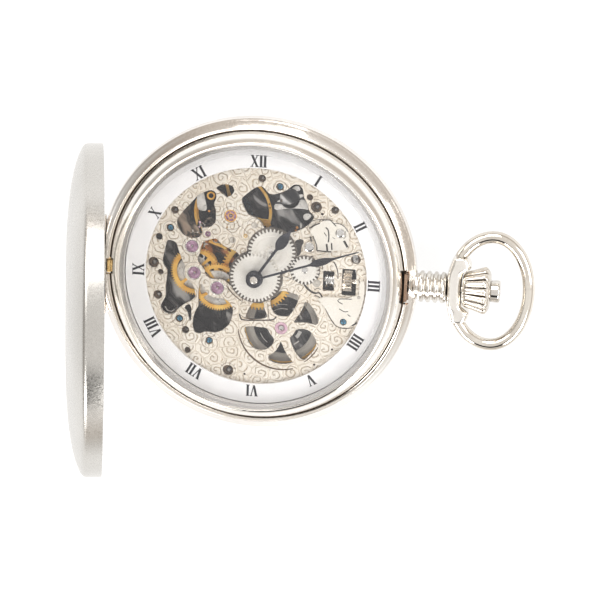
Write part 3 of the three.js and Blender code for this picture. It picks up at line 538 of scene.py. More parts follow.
def engraved(name, a, b, line, cell=0.44, depth=0.6, amount=1.0, metallic=0.55, rough=(0.34, 0.46), thick=0.30):
    """Soft champagne metal covered in small scrolls: a spiral in every cell of a Voronoi pattern."""
    m, nt, bs = new_mat(name)
    v = coords(nt)
    wob = N(nt, "ShaderNodeTexNoise", noise_dimensions="2D")
    wob.inputs["Scale"].default_value = 0.8
    nt.links.new(v, wob.inputs["Vector"])
    off = N(nt, "ShaderNodeVectorMath", operation="SCALE"); off.inputs["Scale"].default_value = 0.7
    nt.links.new(wob.outputs["Color"], off.inputs[0])
    vv = N(nt, "ShaderNodeVectorMath", operation="ADD")
    nt.links.new(v, vv.inputs[0]); nt.links.new(off.outputs[0], vv.inputs[1])
    vs = N(nt, "ShaderNodeVectorMath", operation="SCALE"); vs.inputs["Scale"].default_value = cell
    nt.links.new(vv.outputs[0], vs.inputs[0])
    vo = N(nt, "ShaderNodeTexVoronoi", voronoi_dimensions="2D")
    vo.inputs["Scale"].default_value = 1.0
    nt.links.new(vs.outputs[0], vo.inputs["Vector"])
    d = N(nt, "ShaderNodeVectorMath", operation="SUBTRACT")
    nt.links.new(vs.outputs[0], d.inputs[0]); nt.links.new(vo.outputs["Position"], d.inputs[1])
    sp = N(nt, "ShaderNodeSeparateXYZ"); nt.links.new(d.outputs[0], sp.inputs[0])
    th = math_n(nt, "ARCTAN2", sp.outputs[1], sp.outputs[0])
    r = vo.outputs["Distance"]
    sc = N(nt, "ShaderNodeSeparateColor"); nt.links.new(vo.outputs["Color"], sc.inputs[0])
    sign = math_n(nt, "SUBTRACT", math_n(nt, "MULTIPLY", math_n(nt, "GREATER_THAN", sc.outputs[0], 0.5), 2.0), 1.0)
    ph = math_n(nt, "ADD", math_n(nt, "MULTIPLY", th, sign), math_n(nt, "MULTIPLY", r, 21.0))
    ph = math_n(nt, "ADD", ph, math_n(nt, "MULTIPLY", sc.outputs[1], 6.28))
    s = math_n(nt, "SINE", ph)
    ln = maprange(nt, s, 1.0 - thick * 2, 1.0, 0.0, 1.0)
    # leaf strokes between the scrolls
    ed = N(nt, "ShaderNodeTexVoronoi", voronoi_dimensions="2D", feature="DISTANCE_TO_EDGE")
    ed.inputs["Scale"].default_value = 1.0
    nt.links.new(vs.outputs[0], ed.inputs["Vector"])
    edge = maprange(nt, ed.outputs["Distance"], 0.02, 0.07, 1.0, 0.0)
    lines = math_n(nt, "MAXIMUM", math_n(nt, "MULTIPLY", ln, maprange(nt, ed.outputs["Distance"], 0.05, 0.14, 0.0, 1.0)), math_n(nt, "MULTIPLY", edge, 0.55))
    lines = math_n(nt, "MULTIPLY", lines, amount, clamp=True)
    big = noise(nt, v, 0.16, 3.0)
    fine = noise(nt, v, 5.0, 5.0, 0.7)
    base = ramp(nt, math_n(nt, "ADD", math_n(nt, "MULTIPLY", big, 0.7), math_n(nt, "MULTIPLY", fine, 0.3)), [(0.36, a), (0.62, b)])
    mx = N(nt, "ShaderNodeMix", data_type="RGBA")
    nt.links.new(math_n(nt, "MULTIPLY", lines, 0.75), mx.inputs[0]); nt.links.new(base, mx.inputs[6]); mx.inputs[7].default_value = (*line, 1)
    nt.links.new(mx.outputs[2], bs.inputs["Base Color"])
    bs.inputs["Metallic"].default_value = metallic
    nt.links.new(maprange(nt, fine, 0.3, 0.7, rough[0], rough[1]), bs.inputs["Roughness"])
    h = math_n(nt, "SUBTRACT", 1.0, lines)
    n1 = bump(nt, bs, h, depth, 0.00006)
    n2 = bump(nt, bs, fine, 0.25, 0.00001, n1)
    nt.links.new(n2, bs.inputs["Normal"])
    return m


PLATE = engraved("plate_engraved", (0.86, 0.79, 0.69), (0.93, 0.885, 0.81), (0.44, 0.34, 0.22), depth=1.4, metallic=0.35)
PLATE_PLAIN = engraved("plate_light_engraving", (0.86, 0.82, 0.745), (0.93, 0.90, 0.845), (0.72, 0.65, 0.55), cell=0.6, depth=0.3, amount=0.30, metallic=0.35)


def enamel(name, a, b, rough, metallic=0.0, coat=0.3, bscale=0.5, depth=0.03):
    m, nt, bs = new_mat(name)
    v = coords(nt)
    f = noise(nt, v, bscale, 4.0)
    fine = noise(nt, v, 9.0, 4.0, 0.7)
    nt.links.new(ramp(nt, math_n(nt, "ADD", math_n(nt, "MULTIPLY", f, 0.6), math_n(nt, "MULTIPLY", fine, 0.4)), [(0.35, a), (0.65, b)]), bs.inputs["Base Color"])
    nt.links.new(maprange(nt, fine, 0.3, 0.7, rough[0], rough[1]), bs.inputs["Roughness"])
    bs.inputs["Metallic"].default_value = metallic
    bs.inputs["Coat Weight"].default_value = coat
    bs.inputs["Coat Roughness"].default_value = 0.12
    nt.links.new(bump(nt, bs, fine, depth, 0.00001), bs.inputs["Normal"])
    return m


WHITE = enamel("dial_white", (0.90, 0.90, 0.92), (0.95, 0.95, 0.96), (0.38, 0.5))
INK = enamel("numeral_black", (0.006, 0.006, 0.010), (0.020, 0.020, 0.030), (0.3, 0.42), coat=0.0)
INK.node_tree.nodes["Principled BSDF"].inputs["Specular IOR Level"].default_value = 0.15
BLACK = enamel("recess_dark", (0.012, 0.010, 0.010), (0.045, 0.035, 0.028), (0.4, 0.6), coat=0.0, bscale=1.2)
BROWN = enamel("recess_brown", (0.055, 0.032, 0.018), (0.20, 0.13, 0.075), (0.3, 0.5), metallic=0.4, coat=0.1, bscale=1.6)


def ruby(name, a, b):
    m, nt, bs = new_mat(name)
    v = coords(nt)
    f = noise(nt, v, 1.3, 3.0)
    nt.links.new(ramp(nt, f, [(0.36, a), (0.64, b)]), bs.inputs["Base Color"])
    nt.links.new(maprange(nt, noise(nt, v, 6.0, 3.0), 0.3, 0.7, 0.04, 0.12), bs.inputs["Roughness"])
    bs.inputs["IOR"].default_value = 1.77
    bs.inputs["Coat Weight"].default_value = 0.6
    bs.inputs["Coat Roughness"].default_value = 0.03
    return m


RUBY = ruby("ruby_lilac", (0.24, 0.11, 0.19), (0.48, 0.29, 0.42))
RUBY_P = ruby("ruby_pink", (0.58, 0.36, 0.46), (0.74, 0.52, 0.60))
RUBY_R = ruby("ruby_red", (0.30, 0.02, 0.03), (0.55, 0.08, 0.08))


def crystal(name, tint, alpha, rough):
    m, nt, bs = new_mat(name)
    v = coords(nt)
    f = noise(nt, v, 3.0, 3.0)
    nt.links.new(ramp(nt, f, [(0.3, tint), (0.7, tuple(min(1, c * 1.04) for c in tint))]), bs.inputs["Base Color"])
    nt.links.new(maprange(nt, f, 0.3, 0.7, rough, rough * 1.6), bs.inputs["Roughness"])
    bs.inputs["Alpha"].default_value = alpha
    bs.inputs["IOR"].default_value = 1.5
    m.blend_method = "BLEND" if hasattr(m, "blend_method") else None
    return m


GLASS = crystal("crystal_clear", (0.05, 0.053, 0.055), 0.006, 0.02)
GLASS_E = crystal("crystal_bevel", (0.34, 0.34, 0.35), 0.20, 0.04)

# --------------------------------------------------------------------- case
CASE_R, HX, HZ = 25.0, -24.36, -1.08
case_prof = fillet([
    (21.30, -4.30), (24.20, -4.30), (24.85, -3.10), (CASE_R, MID), (24.80, -1.36),
    (24.41, -1.03), (23.56, -0.24), (23.12, -0.60), (23.12, -1.30), (21.30, -1.30)],
    [0.1, 0.15, 0.5, 0.5, 0.12, 0.10, 0.08, 0.06, 0.05, 0.05], 4)
ring_g = cutting(G().add(lathe(case_prof, 180)), [
    G().add(rod("y", 0.66, -8.1, 8.1, 32, 0.02, (HX, HZ))),
    G().add(rod("x", 1.76, 24.47, 27, 32, 0.02, (0, MID))),
    G().add(rod("x", 1.16, 22.9, 24.6, 32, 0.02, (0, MID))),
    G().add(box(22.55, 23.78, -2.65, 2.65, -1.29, 0.4, 0.02)),
    G().add(box(-23.60, -22.7, -1.3, 1.3, -1.28, 0.4, 0.02)),
])
case_g = G()
case_g.v, case_g.f, case_g.m = ring_g.v, ring_g.f, [0] * len(ring_g.f)
for y0, y1 in ((3.1, 8.0), (-8.0, -3.1)):
    case_g.add(lathe(fillet([(0.235, y0), (0.52, y0), (0.52, y1), (0.235, y1)], 0.06, 3), 28, "y", cx=HX, cz=HZ))
    case_g.add(box(HX - 0.15, HX + 0.5, y0, y1, -1.75, -1.2, 0.05))
# painted shade: dark liners in the catch slot and in the bezel seat round the case
make("case_ring", case_g, CHROME, "case", ("case_middle",), 32)
# slots read dark: thin liners under the openings
make("catch_slot_shadow", G().add(box(22.02, 23.00, -2.58, 2.58, -1.295, -1.27, 0.003)), BLACK, "case", ())
lin = G()
lin.add(ribbon([(23.03 * math.cos(t * RAD), 23.03 * math.sin(t * RAD)) for t in range(0, 361, 4)], 0.14, -1.27, -1.21))
make("bezel_gap_shadow", lin, BROWN, "case", ())

bez_prof = fillet([
    (20.50, 1.30), (21.07, 1.30), (21.07, 1.75), (21.45, 1.70), (22.25, 0.95),
    (22.97, -0.54), (22.92, -1.25), (21.38, -1.25), (21.38, 0.03), (20.50, 0.05)],
    [0.05, 0.04, 0.10, 0.22, 0.55, 0.25, 0.1, 0.1, 0.1, 0.05], 5)
bez = cutting(G().add(lathe(bez_prof, 180)), [G().add(box(22.0, 23.6, -2.6, 2.6, -1.6, -0.15, 0.02))])
make("front_bezel_ring", bez, CHROME_BZ, "case", ("front_bezel",), 32)

back = fillet([(0, -8.0), (15.0, -8.0), (18.2, -7.62), (20.6, -7.08), (22.4, -6.32), (23.5, -5.50), (24.12, -4.34), (21.22, -4.34), (21.22, -3.9),
               (20.6, -3.9), (20.6, -5.5), (15.0, -7.4), (0, -7.4)], [0, 1.2, 1.2, 0.9, 0.7, 0.5, 0.08, 0.05, 0.05, 0.05, 0.5, 1.0, 0], 4, closed=False)
make("back_cover_dome", G().add(lathe(back, 180, closed=False)), CHROME, "case", ("back_cover",), 30)

# crystal: flat disc with a wide polished bevel
cg = G()
cg.add(lathe([(0, 1.95), (20.15, 1.95), (20.35, 1.35), (21.0, 1.35), (21.03, 1.52), (21.0, 1.70)], 160, closed=False), 1)
cg.add(lathe([(21.0, 1.70), (20.45, 2.17), (19.95, 2.56), (19.86, 2.60)], 160, closed=False), 1)
cg.add(lathe([(19.86, 2.60), (0, 2.60)], 160, closed=False), 0)
make("crystal_disc", cg, [GLASS, GLASS_E], "case", ("crystal",), 25)

# dial ring with a fine inner chamfer
dr = fillet([(17.29, -0.40), (20.45, -0.40), (20.45, 0.0), (17.29, 0.0)], [0.02, 0.02, 0.02, 0.09], 3)
make("dial_ring_enamel", G().add(lathe(dr, 180)), WHITE, "case", ("dial_ring",), 30)


def stroke(a, b, w):
    dx, dy = b[0] - a[0], b[1] - a[1]
    l = math.hypot(dx, dy)
    nx, ny = -dy / l * w / 2, dx / l * w / 2
    return [(a[0] + nx, a[1] + ny), (a[0] - nx, a[1] - ny), (b[0] - nx, b[1] - ny), (b[0] + nx, b[1] + ny)]


NH = 1.86           # numeral height
THICK, THIN, SER = 0.36, 0.15, 0.11


def slant(x0, x1, w):
    """A stroke from (x0, 0) to (x1, NH) with horizontal ends of width w."""
    return [(x0 - w / 2, SER / 2), (x0 + w / 2, SER / 2), (x1 + w / 2, NH - SER / 2), (x1 - w / 2, NH - SER / 2)]


def serif(xc, y, w):
    return [(xc - w / 2, y - SER / 2), (xc + w / 2, y - SER / 2), (xc + w / 2, y + SER / 2), (xc - w / 2, y + SER / 2)]


def glyph(ch):
    if ch == "I":
        return 0.60, [slant(0.30, 0.30, THICK), serif(0.30, SER / 2, 0.56), serif(0.30, NH - SER / 2, 0.56)]
    if ch == "V":
        return 1.30, [slant(0.66, 0.26, THICK), slant(0.68, 1.08, THIN), serif(0.26, NH - SER / 2, 0.54), serif(1.08, NH - SER / 2, 0.40)]
    return 1.34, [slant(1.07, 0.27, THICK), slant(0.25, 1.07, THIN), serif(0.27, NH - SER / 2, 0.52), serif(1.07, NH - SER / 2, 0.42),
                  serif(0.25, SER / 2, 0.42), serif(1.07, SER / 2, 0.52)]


def numeral(text, hour, rc=18.42):
    a = (90 - 30 * hour) * RAD
    u = (math.cos(a), math.sin(a)); rt = (math.sin(a), -math.cos(a))
    parts, x = [], 0.0
    for ch in text:
        w, polys = glyph(ch)
        parts += [[(px + x, py) for px, py in q] for q in polys]
        x += w + 0.02
    x -= 0.02
    g = G()
    for k, q in enumerate(parts):
        z = 0.010 + 0.0006 * (k % 7)
        pts = [(rc * u[0] + (px - x / 2) * rt[0] + (py - NH / 2) * u[0], rc * u[1] + (px - x / 2) * rt[1] + (py - NH / 2) * u[1]) for px, py in q]
        n = len(pts)
        V = [(*p, z) for p in pts] + [(*p, 0.0) for p in pts]
        F = [tuple(range(n)), tuple(range(2 * n - 1, n - 1, -1))] + [(i, i + n, (i + 1) % n + n, (i + 1) % n) for i in range(n)]
        g.add((V, F))
    return g


num = G()
for h, t in enumerate(("I", "II", "III", "IIII", "V", "VI", "VII", "VIII", "IX", "X", "XI", "XII"), 1):
    q = numeral(t, h)
    num.add((q.v, q.f))
make("dial_numerals", num, INK, "case", (), 10)

make("movement_holder", G().add(lathe(fillet([(18.4, -3.6), (21.2, -3.6), (21.2, -0.48), (18.4, -0.48)], 0.15, 3), 140)), STEEL, "case", ("movement_ring",), 30)

# pendant neck
neck = [(24.45, 1.15), (29.42, 1.15)]
rib = [(29.42, 2.05), (29.36, 2.22), (29.22, 2.32)]
for xc in (28.90, 27.80, 26.70, 25.62):
    for t in range(0, 181, 15):
        rib.append((xc + 0.36 * math.cos(t * RAD), 2.12 + 0.33 * math.sin(t * RAD)))
    rib.append((xc - 0.47, 2.04)); rib.append((xc - 0.55, 2.02))
rib += [(25.0, 2.02), (24.8, 1.98), (24.6, 1.85), (24.45, 1.70)]
ng = lathe([(r, x) for x, r in neck + rib], 64, "x")
make("pendant_neck_ribbed", G().add(ng), CHROME_X, "case", ("pendant_neck",), 50)

# bow collar: rounded crescent
LEFT = [(0.0, 29.46), (1.9, 29.46), (2.5, 29.52), (3.2, 29.66), (4.0, 29.88), (4.8, 30.16), (5.15, 30.34)]
RIGHT = [(0.0, 31.78), (1.6, 31.80), (2.3, 31.86), (2.72, 31.98), (2.98, 32.25), (3.18, 32.62), (3.38, 32.95), (3.62, 33.12), (3.95, 33.14), (4.45, 32.98), (4.95, 32.70), (5.15, 32.50)]


def along(tab, y):
    for (y0_, x0_), (y1_, x1_) in zip(tab, tab[1:]):
        if y <= y1_:
            return x0_ + (x1_ - x0_) * (y - y0_) / (y1_ - y0_)
    return tab[-1][1]


ys_ = [-5.15 + 10.3 * i_ / 96 for i_ in range(97)]
V, F, nq = [], [], 40
for yy in ys_:
    xl, xr = along(LEFT, abs(yy)), along(RIGHT, abs(yy))
    e_ = max(0.0, (abs(yy) - 4.9) / 0.25)
    hw, hz = (xr - xl) / 2 - 0.10 * e_ * e_, 1.74 - 0.08 * (abs(yy) / 5.15) ** 2 - 0.10 * e_ * e_
    for k_ in range(nq):
        t_ = 2 * PI * k_ / nq
        c_, s_ = math.cos(t_), math.sin(t_)
        V.append(((xl + xr) / 2 + hw * math.copysign(abs(c_) ** 0.62, c_), yy, MID + hz * math.copysign(abs(s_) ** 0.62, s_)))
for a_ in range(96):
    for k_ in range(nq):
        k2 = (k_ + 1) % nq
        F.append((a_ * nq + k_, a_ * nq + k2, (a_ + 1) * nq + k2, (a_ + 1) * nq + k_))
F.append(tuple(range(nq))); F.append(tuple(range(96 * nq, 97 * nq))[::-1])
cr = (V, F)
CHROME_COL = metal("chrome_collar", (0.84, 0.81, 0.765), (0.93, 0.905, 0.865), (0.12, 0.2), "none", 6.0, 0.05, scratch=0.03, blotch=0.2)
make("bow_collar_crescent", G().add(cr), CHROME_COL, "case", ("bow_collar",), 45)

# bow
BPX, BLEN, BHALF, WR = 31.55, 10.45, 8.55, 0.94
bp = []
y0 = 5.35
cx, aa = BPX + 4.85, BLEN - 4.85
st = math.asin(y0 / BHALF)
for i in range(25):
    t = PI - st - ((PI - st) * 2 * i) / 24
    bp.append((cx + ((4.85 / math.cos(st)) if (t > PI / 2 or t < -PI / 2) else aa) * math.cos(t), BHALF * math.sin(t), MID))
bp = [(BPX + 0.02, 5.27, MID)] + bp[:] + [(BPX + 0.02, -5.27, MID)]
bp = catmull(bp, 6)
nb = len(bp)
bg = G().add(tube(bp, WR, 32))
for s in (1, -1):
    bg.add(lathe([(0, s * 5.27), (0.72, s * 5.27), (0.80, s * 5.32), (0.80, s * 5.6), (0.70, s * 5.9), (0.4, s * 6.2), (0, s * 6.3)], 40, "y", cx=BPX, cz=MID, closed=False))
bg.v = [(x, (max(y, 5.26) if y > 0 else min(y, -5.26)) if x < 34 else y, z) for x, y, z in bg.v]
make("bow_loop", bg, CHROME_BOW, "bow", ("bow",), 50)
for s, nm in ((1, "upper"), (-1, "lower")):
    a, b = sorted((3.5 * s, 7.02 * s)); c, d = sorted((6.95 * s, 7.29 * s))
    pg = G().add(rod("y", 0.33, min(3.5 * s, 5.6 * s), max(3.5 * s, 5.6 * s), 24, 0.04, (BPX, MID)))
    make("bow_screw_" + nm, pg, POLISH, "case", ("bow_pin_" + nm,), 40)

# crown: rounded flutes
NF = 16
rings = [(31.95, 2.30, 0.0), (32.05, 2.48, 0.10), (32.30, 2.72, 0.40), (32.7, 2.86, 0.75), (33.4, 3.06, 1.0), (34.2, 3.32, 1.15), (34.9, 3.56, 1.25), (35.2, 3.66, 1.2), (35.42, 3.63, 1.0), (35.62, 3.48, 0.75), (35.80, 3.28, 0.5), (35.98, 3.02, 0.25), (36.12, 2.74, 0.0), (36.2, 2.45, 0.0)]
SEGC = NF * 10
V, F = [], []
inner = [(36.2, 1.96), (36.12, 1.88), (34.8, 1.88), (34.8, 0.95), (33.6, 0.95), (33.6, 0.64), (31.95, 0.64)]
for x, r, d in rings + [(x, r, 0.0) for x, r in inner]:
    for i in range(SEGC):
        a = 2 * PI * i / SEGC
        ph = (i % 10) / 10.0
        prof_ = abs(math.sin(PI * ph)) ** 0.55           # round ridge, sharp valley
        q = r * (1 - 0.105 * d * (1 - prof_))
        V.append((x, q * math.cos(a), MID + q * math.sin(a)))
R = len(rings) + len(inner)
for k in range(R):
    for i in range(SEGC):
        j = (i + 1) % SEGC
        F.append((k * SEGC + i, k * SEGC + j, ((k + 1) % R) * SEGC + j, ((k + 1) % R) * SEGC + i))
kg = G().add((V, F))
# painted shade: the faces along the flute valleys get a dark material
kg.m = [1 if (2 <= k < 9 and (i % 10) in (0, 9)) else 0 for k in range(R) for i in range(SEGC)]
make("crown_fluted", kg, [CHROME_BOW, metal("flute_valley_painted_shade", (0.05, 0.04, 0.035), (0.22, 0.19, 0.16), (0.3, 0.45), blotch=0.8, metallic=0.8)], "crown_stem", ("crown",), 40)
stem = lathe([(0.38, 24.0), (0.38, 33.15), (0.60, 33.15), (0.60, 13.0), (0.44, 12.7), (0.42, 9.95), (0, 9.9), (0, 24.0)], 32, "x", closed=False)
make("winding_stem_rod", G().add(stem), POLISH, "crown_stem", ("winding_stem",), 40)
ps = [(0, 36.28), (0.80, 36.28), (0.80, 34.95), (0.30, 34.95), (0.30, 25.35), (0, 25.3)]
pu = [(0, 37.70), (1.0, 37.70), (1.40, 37.68), (1.60, 37.62), (1.69, 37.52), (1.72, 37.36), (1.71, 36.9), (1.68, 36.36), (1.62, 36.30), (0.80, 36.28), (0.80, 34.95), (0.30, 34.95), (0.30, 25.35), (0, 25.3)]
make("crown_pusher", G().add(lathe(pu, 48, "x", closed=False)), CHROME_X, "pusher", ("pusher",), 40)

# lid catch, lid spring, hinge pin
CATCHM = metal("catch_bronze", (0.30, 0.20, 0.14), (0.46, 0.34, 0.26), (0.2, 0.3), metallic=0.8)
make("lid_catch_tongue", G().add(box(23.02, 23.5, -2.2, 2.2, -1.2, -0.2, 0.08)).add(box(23.02, 23.3, -1.0, 1.0, -1.26, -1.1, 0.03)), CATCHM, "catch", ("lid_catch",), 30)
make("lid_fly_spring", G().add(box(-23.50, -22.95, -1.0, 1.0, -1.85, -0.55, 0.07)), BRASS, "case", ("lid_spring",), 30)
make("lid_hinge_pin", G().add(rod("y", 0.18, -7.95, 7.95, 20, 0.05, (HX, HZ))), BRASS, "case", ("hinge_pin",), 30)

# front lid: dome with a vertical rim
def lid_out(r):
    return -0.86 + 2.4956 + 3.0024 * (1 - (r / 24.3) ** 3.4858) ** (1 / 1.6423)


outer = [(24.24, -0.72), (24.30, -0.64), (24.30, 1.44), (24.27, 1.64)]
for r in (24.2, 24.0, 23.7, 23.3, 22.8, 22.2, 21.4, 20.4, 19.0, 17.4, 15.4, 13.0, 10.4, 7.6, 4.6, 2.0):
    outer.append((r, min(4.64, lid_out(r))))
outer.append((0, 4.638))
outer = [(max(0, r_ - 0.012), z_ - (0.05 if z_ > 2.5 else 0.0)) for r_, z_ in outer]
inner = [(0, 4.14), (6, 4.10), (12.9, 3.92), (16.2, 3.65), (18.9, 3.27), (20.8, 2.87), (22.2, 2.40), (23.1, 1.95), (23.55, 1.62), (23.70, 1.30), (23.76, 0.6), (23.78, -0.30), (23.86, -0.32), (24.15, -0.68)]
lidg = cutting(G().add(lathe(list(reversed(outer)) + [] if False else inner + outer, 200, closed=False)),
               [G().add(rod("y", 0.64, -8.12, 8.12, 32, 0.02, (HX, HZ)))])
lg = G()
lg.v, lg.f, lg.m = lidg.v, lidg.f, [0] * len(lidg.f)
lg.add(lathe(fillet([(0.235, -3.0), (0.52, -3.0), (0.52, 3.0), (0.235, 3.0)], 0.06, 3), 28, "y", cx=HX, cz=HZ))
lg.add(box(HX - 0.05, HX + 0.40, -3.0, 3.0, HZ + 0.25, 0.2, 0.05))
ROT = Matrix.Translation((HX, 0, HZ)) @ Matrix.Rotation(-76.3 * RAD, 4, "Y") @ Matrix.Translation((-HX, 0, -HZ))
lg.v = [tuple(ROT @ Vector(p)) for p in lg.v]
make("front_lid_dome", lg, CHROME_LID, "lid", ("front_lid",), 32)

# ----------------------------------------------------------------- movement
PT, PB = -0.60, -1.05
WIN = {
    "upperLeft": [(-10.6, 10.8), (-11.5, 9.8), (-12.2, 8.9), (-12.65, 8.0), (-12.45, 7.1), (-12.0, 6.3), (-11.3, 5.7), (-10.4, 5.45), (-9.3, 5.5), (-8.7, 5.95), (-8.5, 6.6), (-8.8, 7.25), (-8.2, 7.2), (-7.3, 7.4), (-6.6, 8.1), (-6.5, 8.8), (-6.55, 10.2), (-6.9, 11.1),
                  (-6.45, 12.2), (-6.7, 13.0), (-7.3, 13.25), (-8.1, 13.0), (-9.3, 12.4)],
    "small": [(-6.65, 13.65), (-5.9, 14.15), (-4.9, 14.35), (-4.0, 14.1), (-3.7, 13.4), (-4.1, 12.7), (-4.9, 12.2), (-5.4, 12.7), (-6.1, 13.15)],
    "top": [(-2.6, 12), (-2.4, 12.5), (-0.5, 14.15), (0.6, 14.45), (1.6, 13.3), (2.3, 13.15), (4.3, 13.9), (5.4, 15), (6.3, 15), (6.9, 14.3), (6.95, 13.2), (7.6, 12.2), (7.9, 11), (8.9, 10.1), (7.5, 8.4), (5.2, 7.2), (1.2, 7.2), (0.9, 8.2), (0.2, 9.2), (-1.4, 9.7), (-2, 10.5)],
    "left": [(-14.0, 5.0), (-14.4, 3.4), (-14.75, 1.6), (-14.6, 0.9), (-13.95, 0.1), (-14.0, -1.0), (-14.2, -2.6), (-14.1, -4.2), (-14.6, -5.1), (-14.95, -6.0), (-14.4, -6.85), (-13.5, -7.15), (-12.7, -6.9), (-12.1, -6.1), (-11.2, -5.3), (-10.0, -4.6),
             (-9.3, -3.9), (-9.9, -1.9), (-11.25, -0.9), (-11.1, 0.9), (-11.6, 1.7), (-12.2, 3.2), (-12.6, 4.6)],
    "centre": [(-8.6, 4.8), (-7.6, 5.3), (-6.4, 5.75), (-5.2, 4.5), (-2.9, 3.7), (-2.4, 2.4), (-2.4, 0), (-3.0, -1.7), (-3.9, -1.9), (-4.9, -0.85), (-7.0, -0.95), (-8.0, -0.3), (-8.1, 0.6), (-9.35, 1.9), (-8.9, 3.1)],
    "lower": [(-8.95, -1.9), (-8.3, -1.9), (-7.6, -3.4), (-6.4, -4.0), (-5.0, -3.9), (-4.0, -4.5), (-3.4, -5.5), (-3.6, -7.0), (-4.0, -8.1), (-5.0, -9.1), (-6.1, -9.6), (-7.8, -9.5), (-8.6, -9.95), (-9.45, -9.8), (-9.8, -8.8), (-9.75, -7.4), (-9.35, -6.2), (-8.9, -5.4), (-9.0, -4.0)],
    "sliver": [(-11.2, -5.95), (-10.8, -5.4), (-10.25, -5.3), (-10.0, -5.9), (-10.02, -7.4), (-10.2, -8.2), (-10.45, -7.2), (-10.7, -6.4)],
    "b1": [(0.0, -3.9), (-0.7, -4.7), (-1.15, -5.6), (-1.5, -6.7), (-1.35, -6.95), (-0.2, -6.95), (1.0, -6.85), (2.1, -6.35), (1.75, -5.7), (1.45, -4.9), (1.35, -4.2), (1.1, -3.7)],
    "b2": [(3.6, -2.1), (4.5, -1.98), (5.7, -2.2), (6.85, -2.55), (6.7, -3.5), (6.3, -4.5), (5.8, -5.4), (5.2, -6.1), (4.2, -6.15), (3.4, -6.0), (2.8, -5.4), (2.45, -4.6), (2.35, -3.8), (2.5, -3.1), (3.0, -2.5)],
    "b3": [(8.0, -3.4), (8.6, -3.8), (9.3, -4.7), (9.85, -5.8), (10.05, -6.7), (9.6, -7.15), (9.0, -7.0), (8.2, -6.85), (7.0, -6.9), (6.05, -7.0), (6.5, -6.3), (7.2, -5.2), (7.6, -4.3), (7.7, -3.6)],
    "b4": [(6.6, -8.05), (7.8, -7.85), (8.8, -8.2), (9.5, -9.1), (9.9, -10.1), (9.5, -11.2), (8.7, -12.2), (8.0, -13.0), (7.3, -12.7), (6.4, -11.6), (5.5, -9.6), (6.1, -9.0), (6.3, -8.6)],
    "b5": [(4.2, -10.1), (4.7, -11.3), (5.4, -12.5), (6.3, -13.5), (5.2, -13.8), (4.2, -13.9), (3.0, -13.7), (2.3, -13.15), (2.35, -12.6), (2.95, -12.3), (3.5, -11.8), (3.95, -11.0)],
    "b6": [(1.5, -8.1), (2.1, -8.35), (2.5, -9.1), (3.2, -9.9), (3.0, -10.7), (2.3, -11.5), (1.4, -11.85), (0.3, -11.8), (-0.5, -11.3), (-1.2, -10.0), (-1.65, -8.35), (-1.0, -8.15), (0.0, -8.05), (0.8, -8.2)],
}
WSM = {k: chaikin(v, 2, 0.2) for k, v in WIN.items()}
KEYW = chaikin([(10.3, -2.25), (15.9, -2.25), (15.9, 2.3), (10.3, 2.3)], 1, 0.05)
OPEN = [(0.5, 15.6, .6), (7.95, 13.15, .5), (9.0, 11.7, .85), (11.9, 11.4, .6), (15.4, 3.85, .75), (-12.95, 9.7, .6), (-15.35, 5.3, .55), (-16.15, 1.1, .85),
        (-15.0, -0.35, .45), (-15.4, -4.1, .7), (-10.9, -9.5, .6), (-10.5, -12.8, .5), (-4.0, -15.6, .85)]
SCREWS = [(3.30, 14.50), (-13.60, 6.85), (-11.90, -7.70), (-7.10, -10.95), (13.90, -6.20)]
JEW = {"third": (THIRD, 0.95), "fourth": (FOURTH, 0.93), "escape": (ESCAPE, 0.92), "pallet": (PALLET, 0.42), "balance": (BALANCE, 0.84), "barrel": (BARREL, 0.98)}
SMALLH = [(-0.45, 8.2, .34), (-3.8, 5.6, .34), (9.95, 10.65, .22), (-4.7, 7.55, .12), (8.8, -0.3, .12), (-1.35, -16.0, .18), (9.6, -13.6, .18), (12.3, -10.9, .18)]

KS1 = chaikin([(10.45, -1.45), (12.2, -1.45), (12.2, 1.7), (10.45, 1.7)], 1, 0.06)
KS2 = chaikin([(13.4, -2.0), (15.6, -2.0), (15.6, 2.25), (13.4, 2.25)], 1, 0.05)
holes = list(WSM.values()) + [KS1, KS2]
holes += [circle(r, 28, x, y) for x, y, r in OPEN]
holes += [circle(0.58, 24, x, y) for x, y in SCREWS]
holes += [circle(r + 0.04, 32, x, y) for (x, y), r in JEW.values()]
holes += [circle(r, 16, x, y) for x, y, r in SMALLH]
holes += [circle(0.55, 24), circle(0.42, 20, *MINUTE), circle(0.42, 20, 12.85, 7.9), circle(0.42, 20, 8.15, 5.35)]
pg = G()
pg.add(plate(circle(18.3, 220), holes, PB, PT, 0.045, 2))
# raised rims round screws, jewels and open holes
for (x, y), w in [((x, y), 0.62) for x, y in SCREWS] + [(c, r + 0.06) for c, r in JEW.values()] + [((x, y), r + 0.02) for x, y, r in OPEN]:
    pg.add(lathe(fillet([(w, PT - 0.1), (w + 0.16, PT - 0.1), (w + 0.13, PT + 0.035), (w + 0.03, PT + 0.035)], 0.03, 2), 36, cx=x, cy=y))
make("main_plate_engraved", pg, PLATE, "case", ("main_plate",), 30)
tg = G()
for c_, r0_, r1_ in ((C0, 3.42, 4.22), (MINUTE, 3.12, 3.92), (SETTING, 1.55, 2.35)):
    tg.add(lathe([(r0_, PT + 0.004), (r1_, PT + 0.004), (r1_, PT + 0.016), (r0_, PT + 0.016)], 120, cx=c_[0], cy=c_[1]))
make("tooth_shadow_rings", tg, metal("recess_dark", (0.10, 0.085, 0.07), (0.26, 0.23, 0.20), (0.35, 0.5), blotch=0.9, metallic=0.3), "case", (), 30)

# chamfered grey walls inside the barrel windows; dark brown wells under the open holes, their colour painted shade
walls = G()


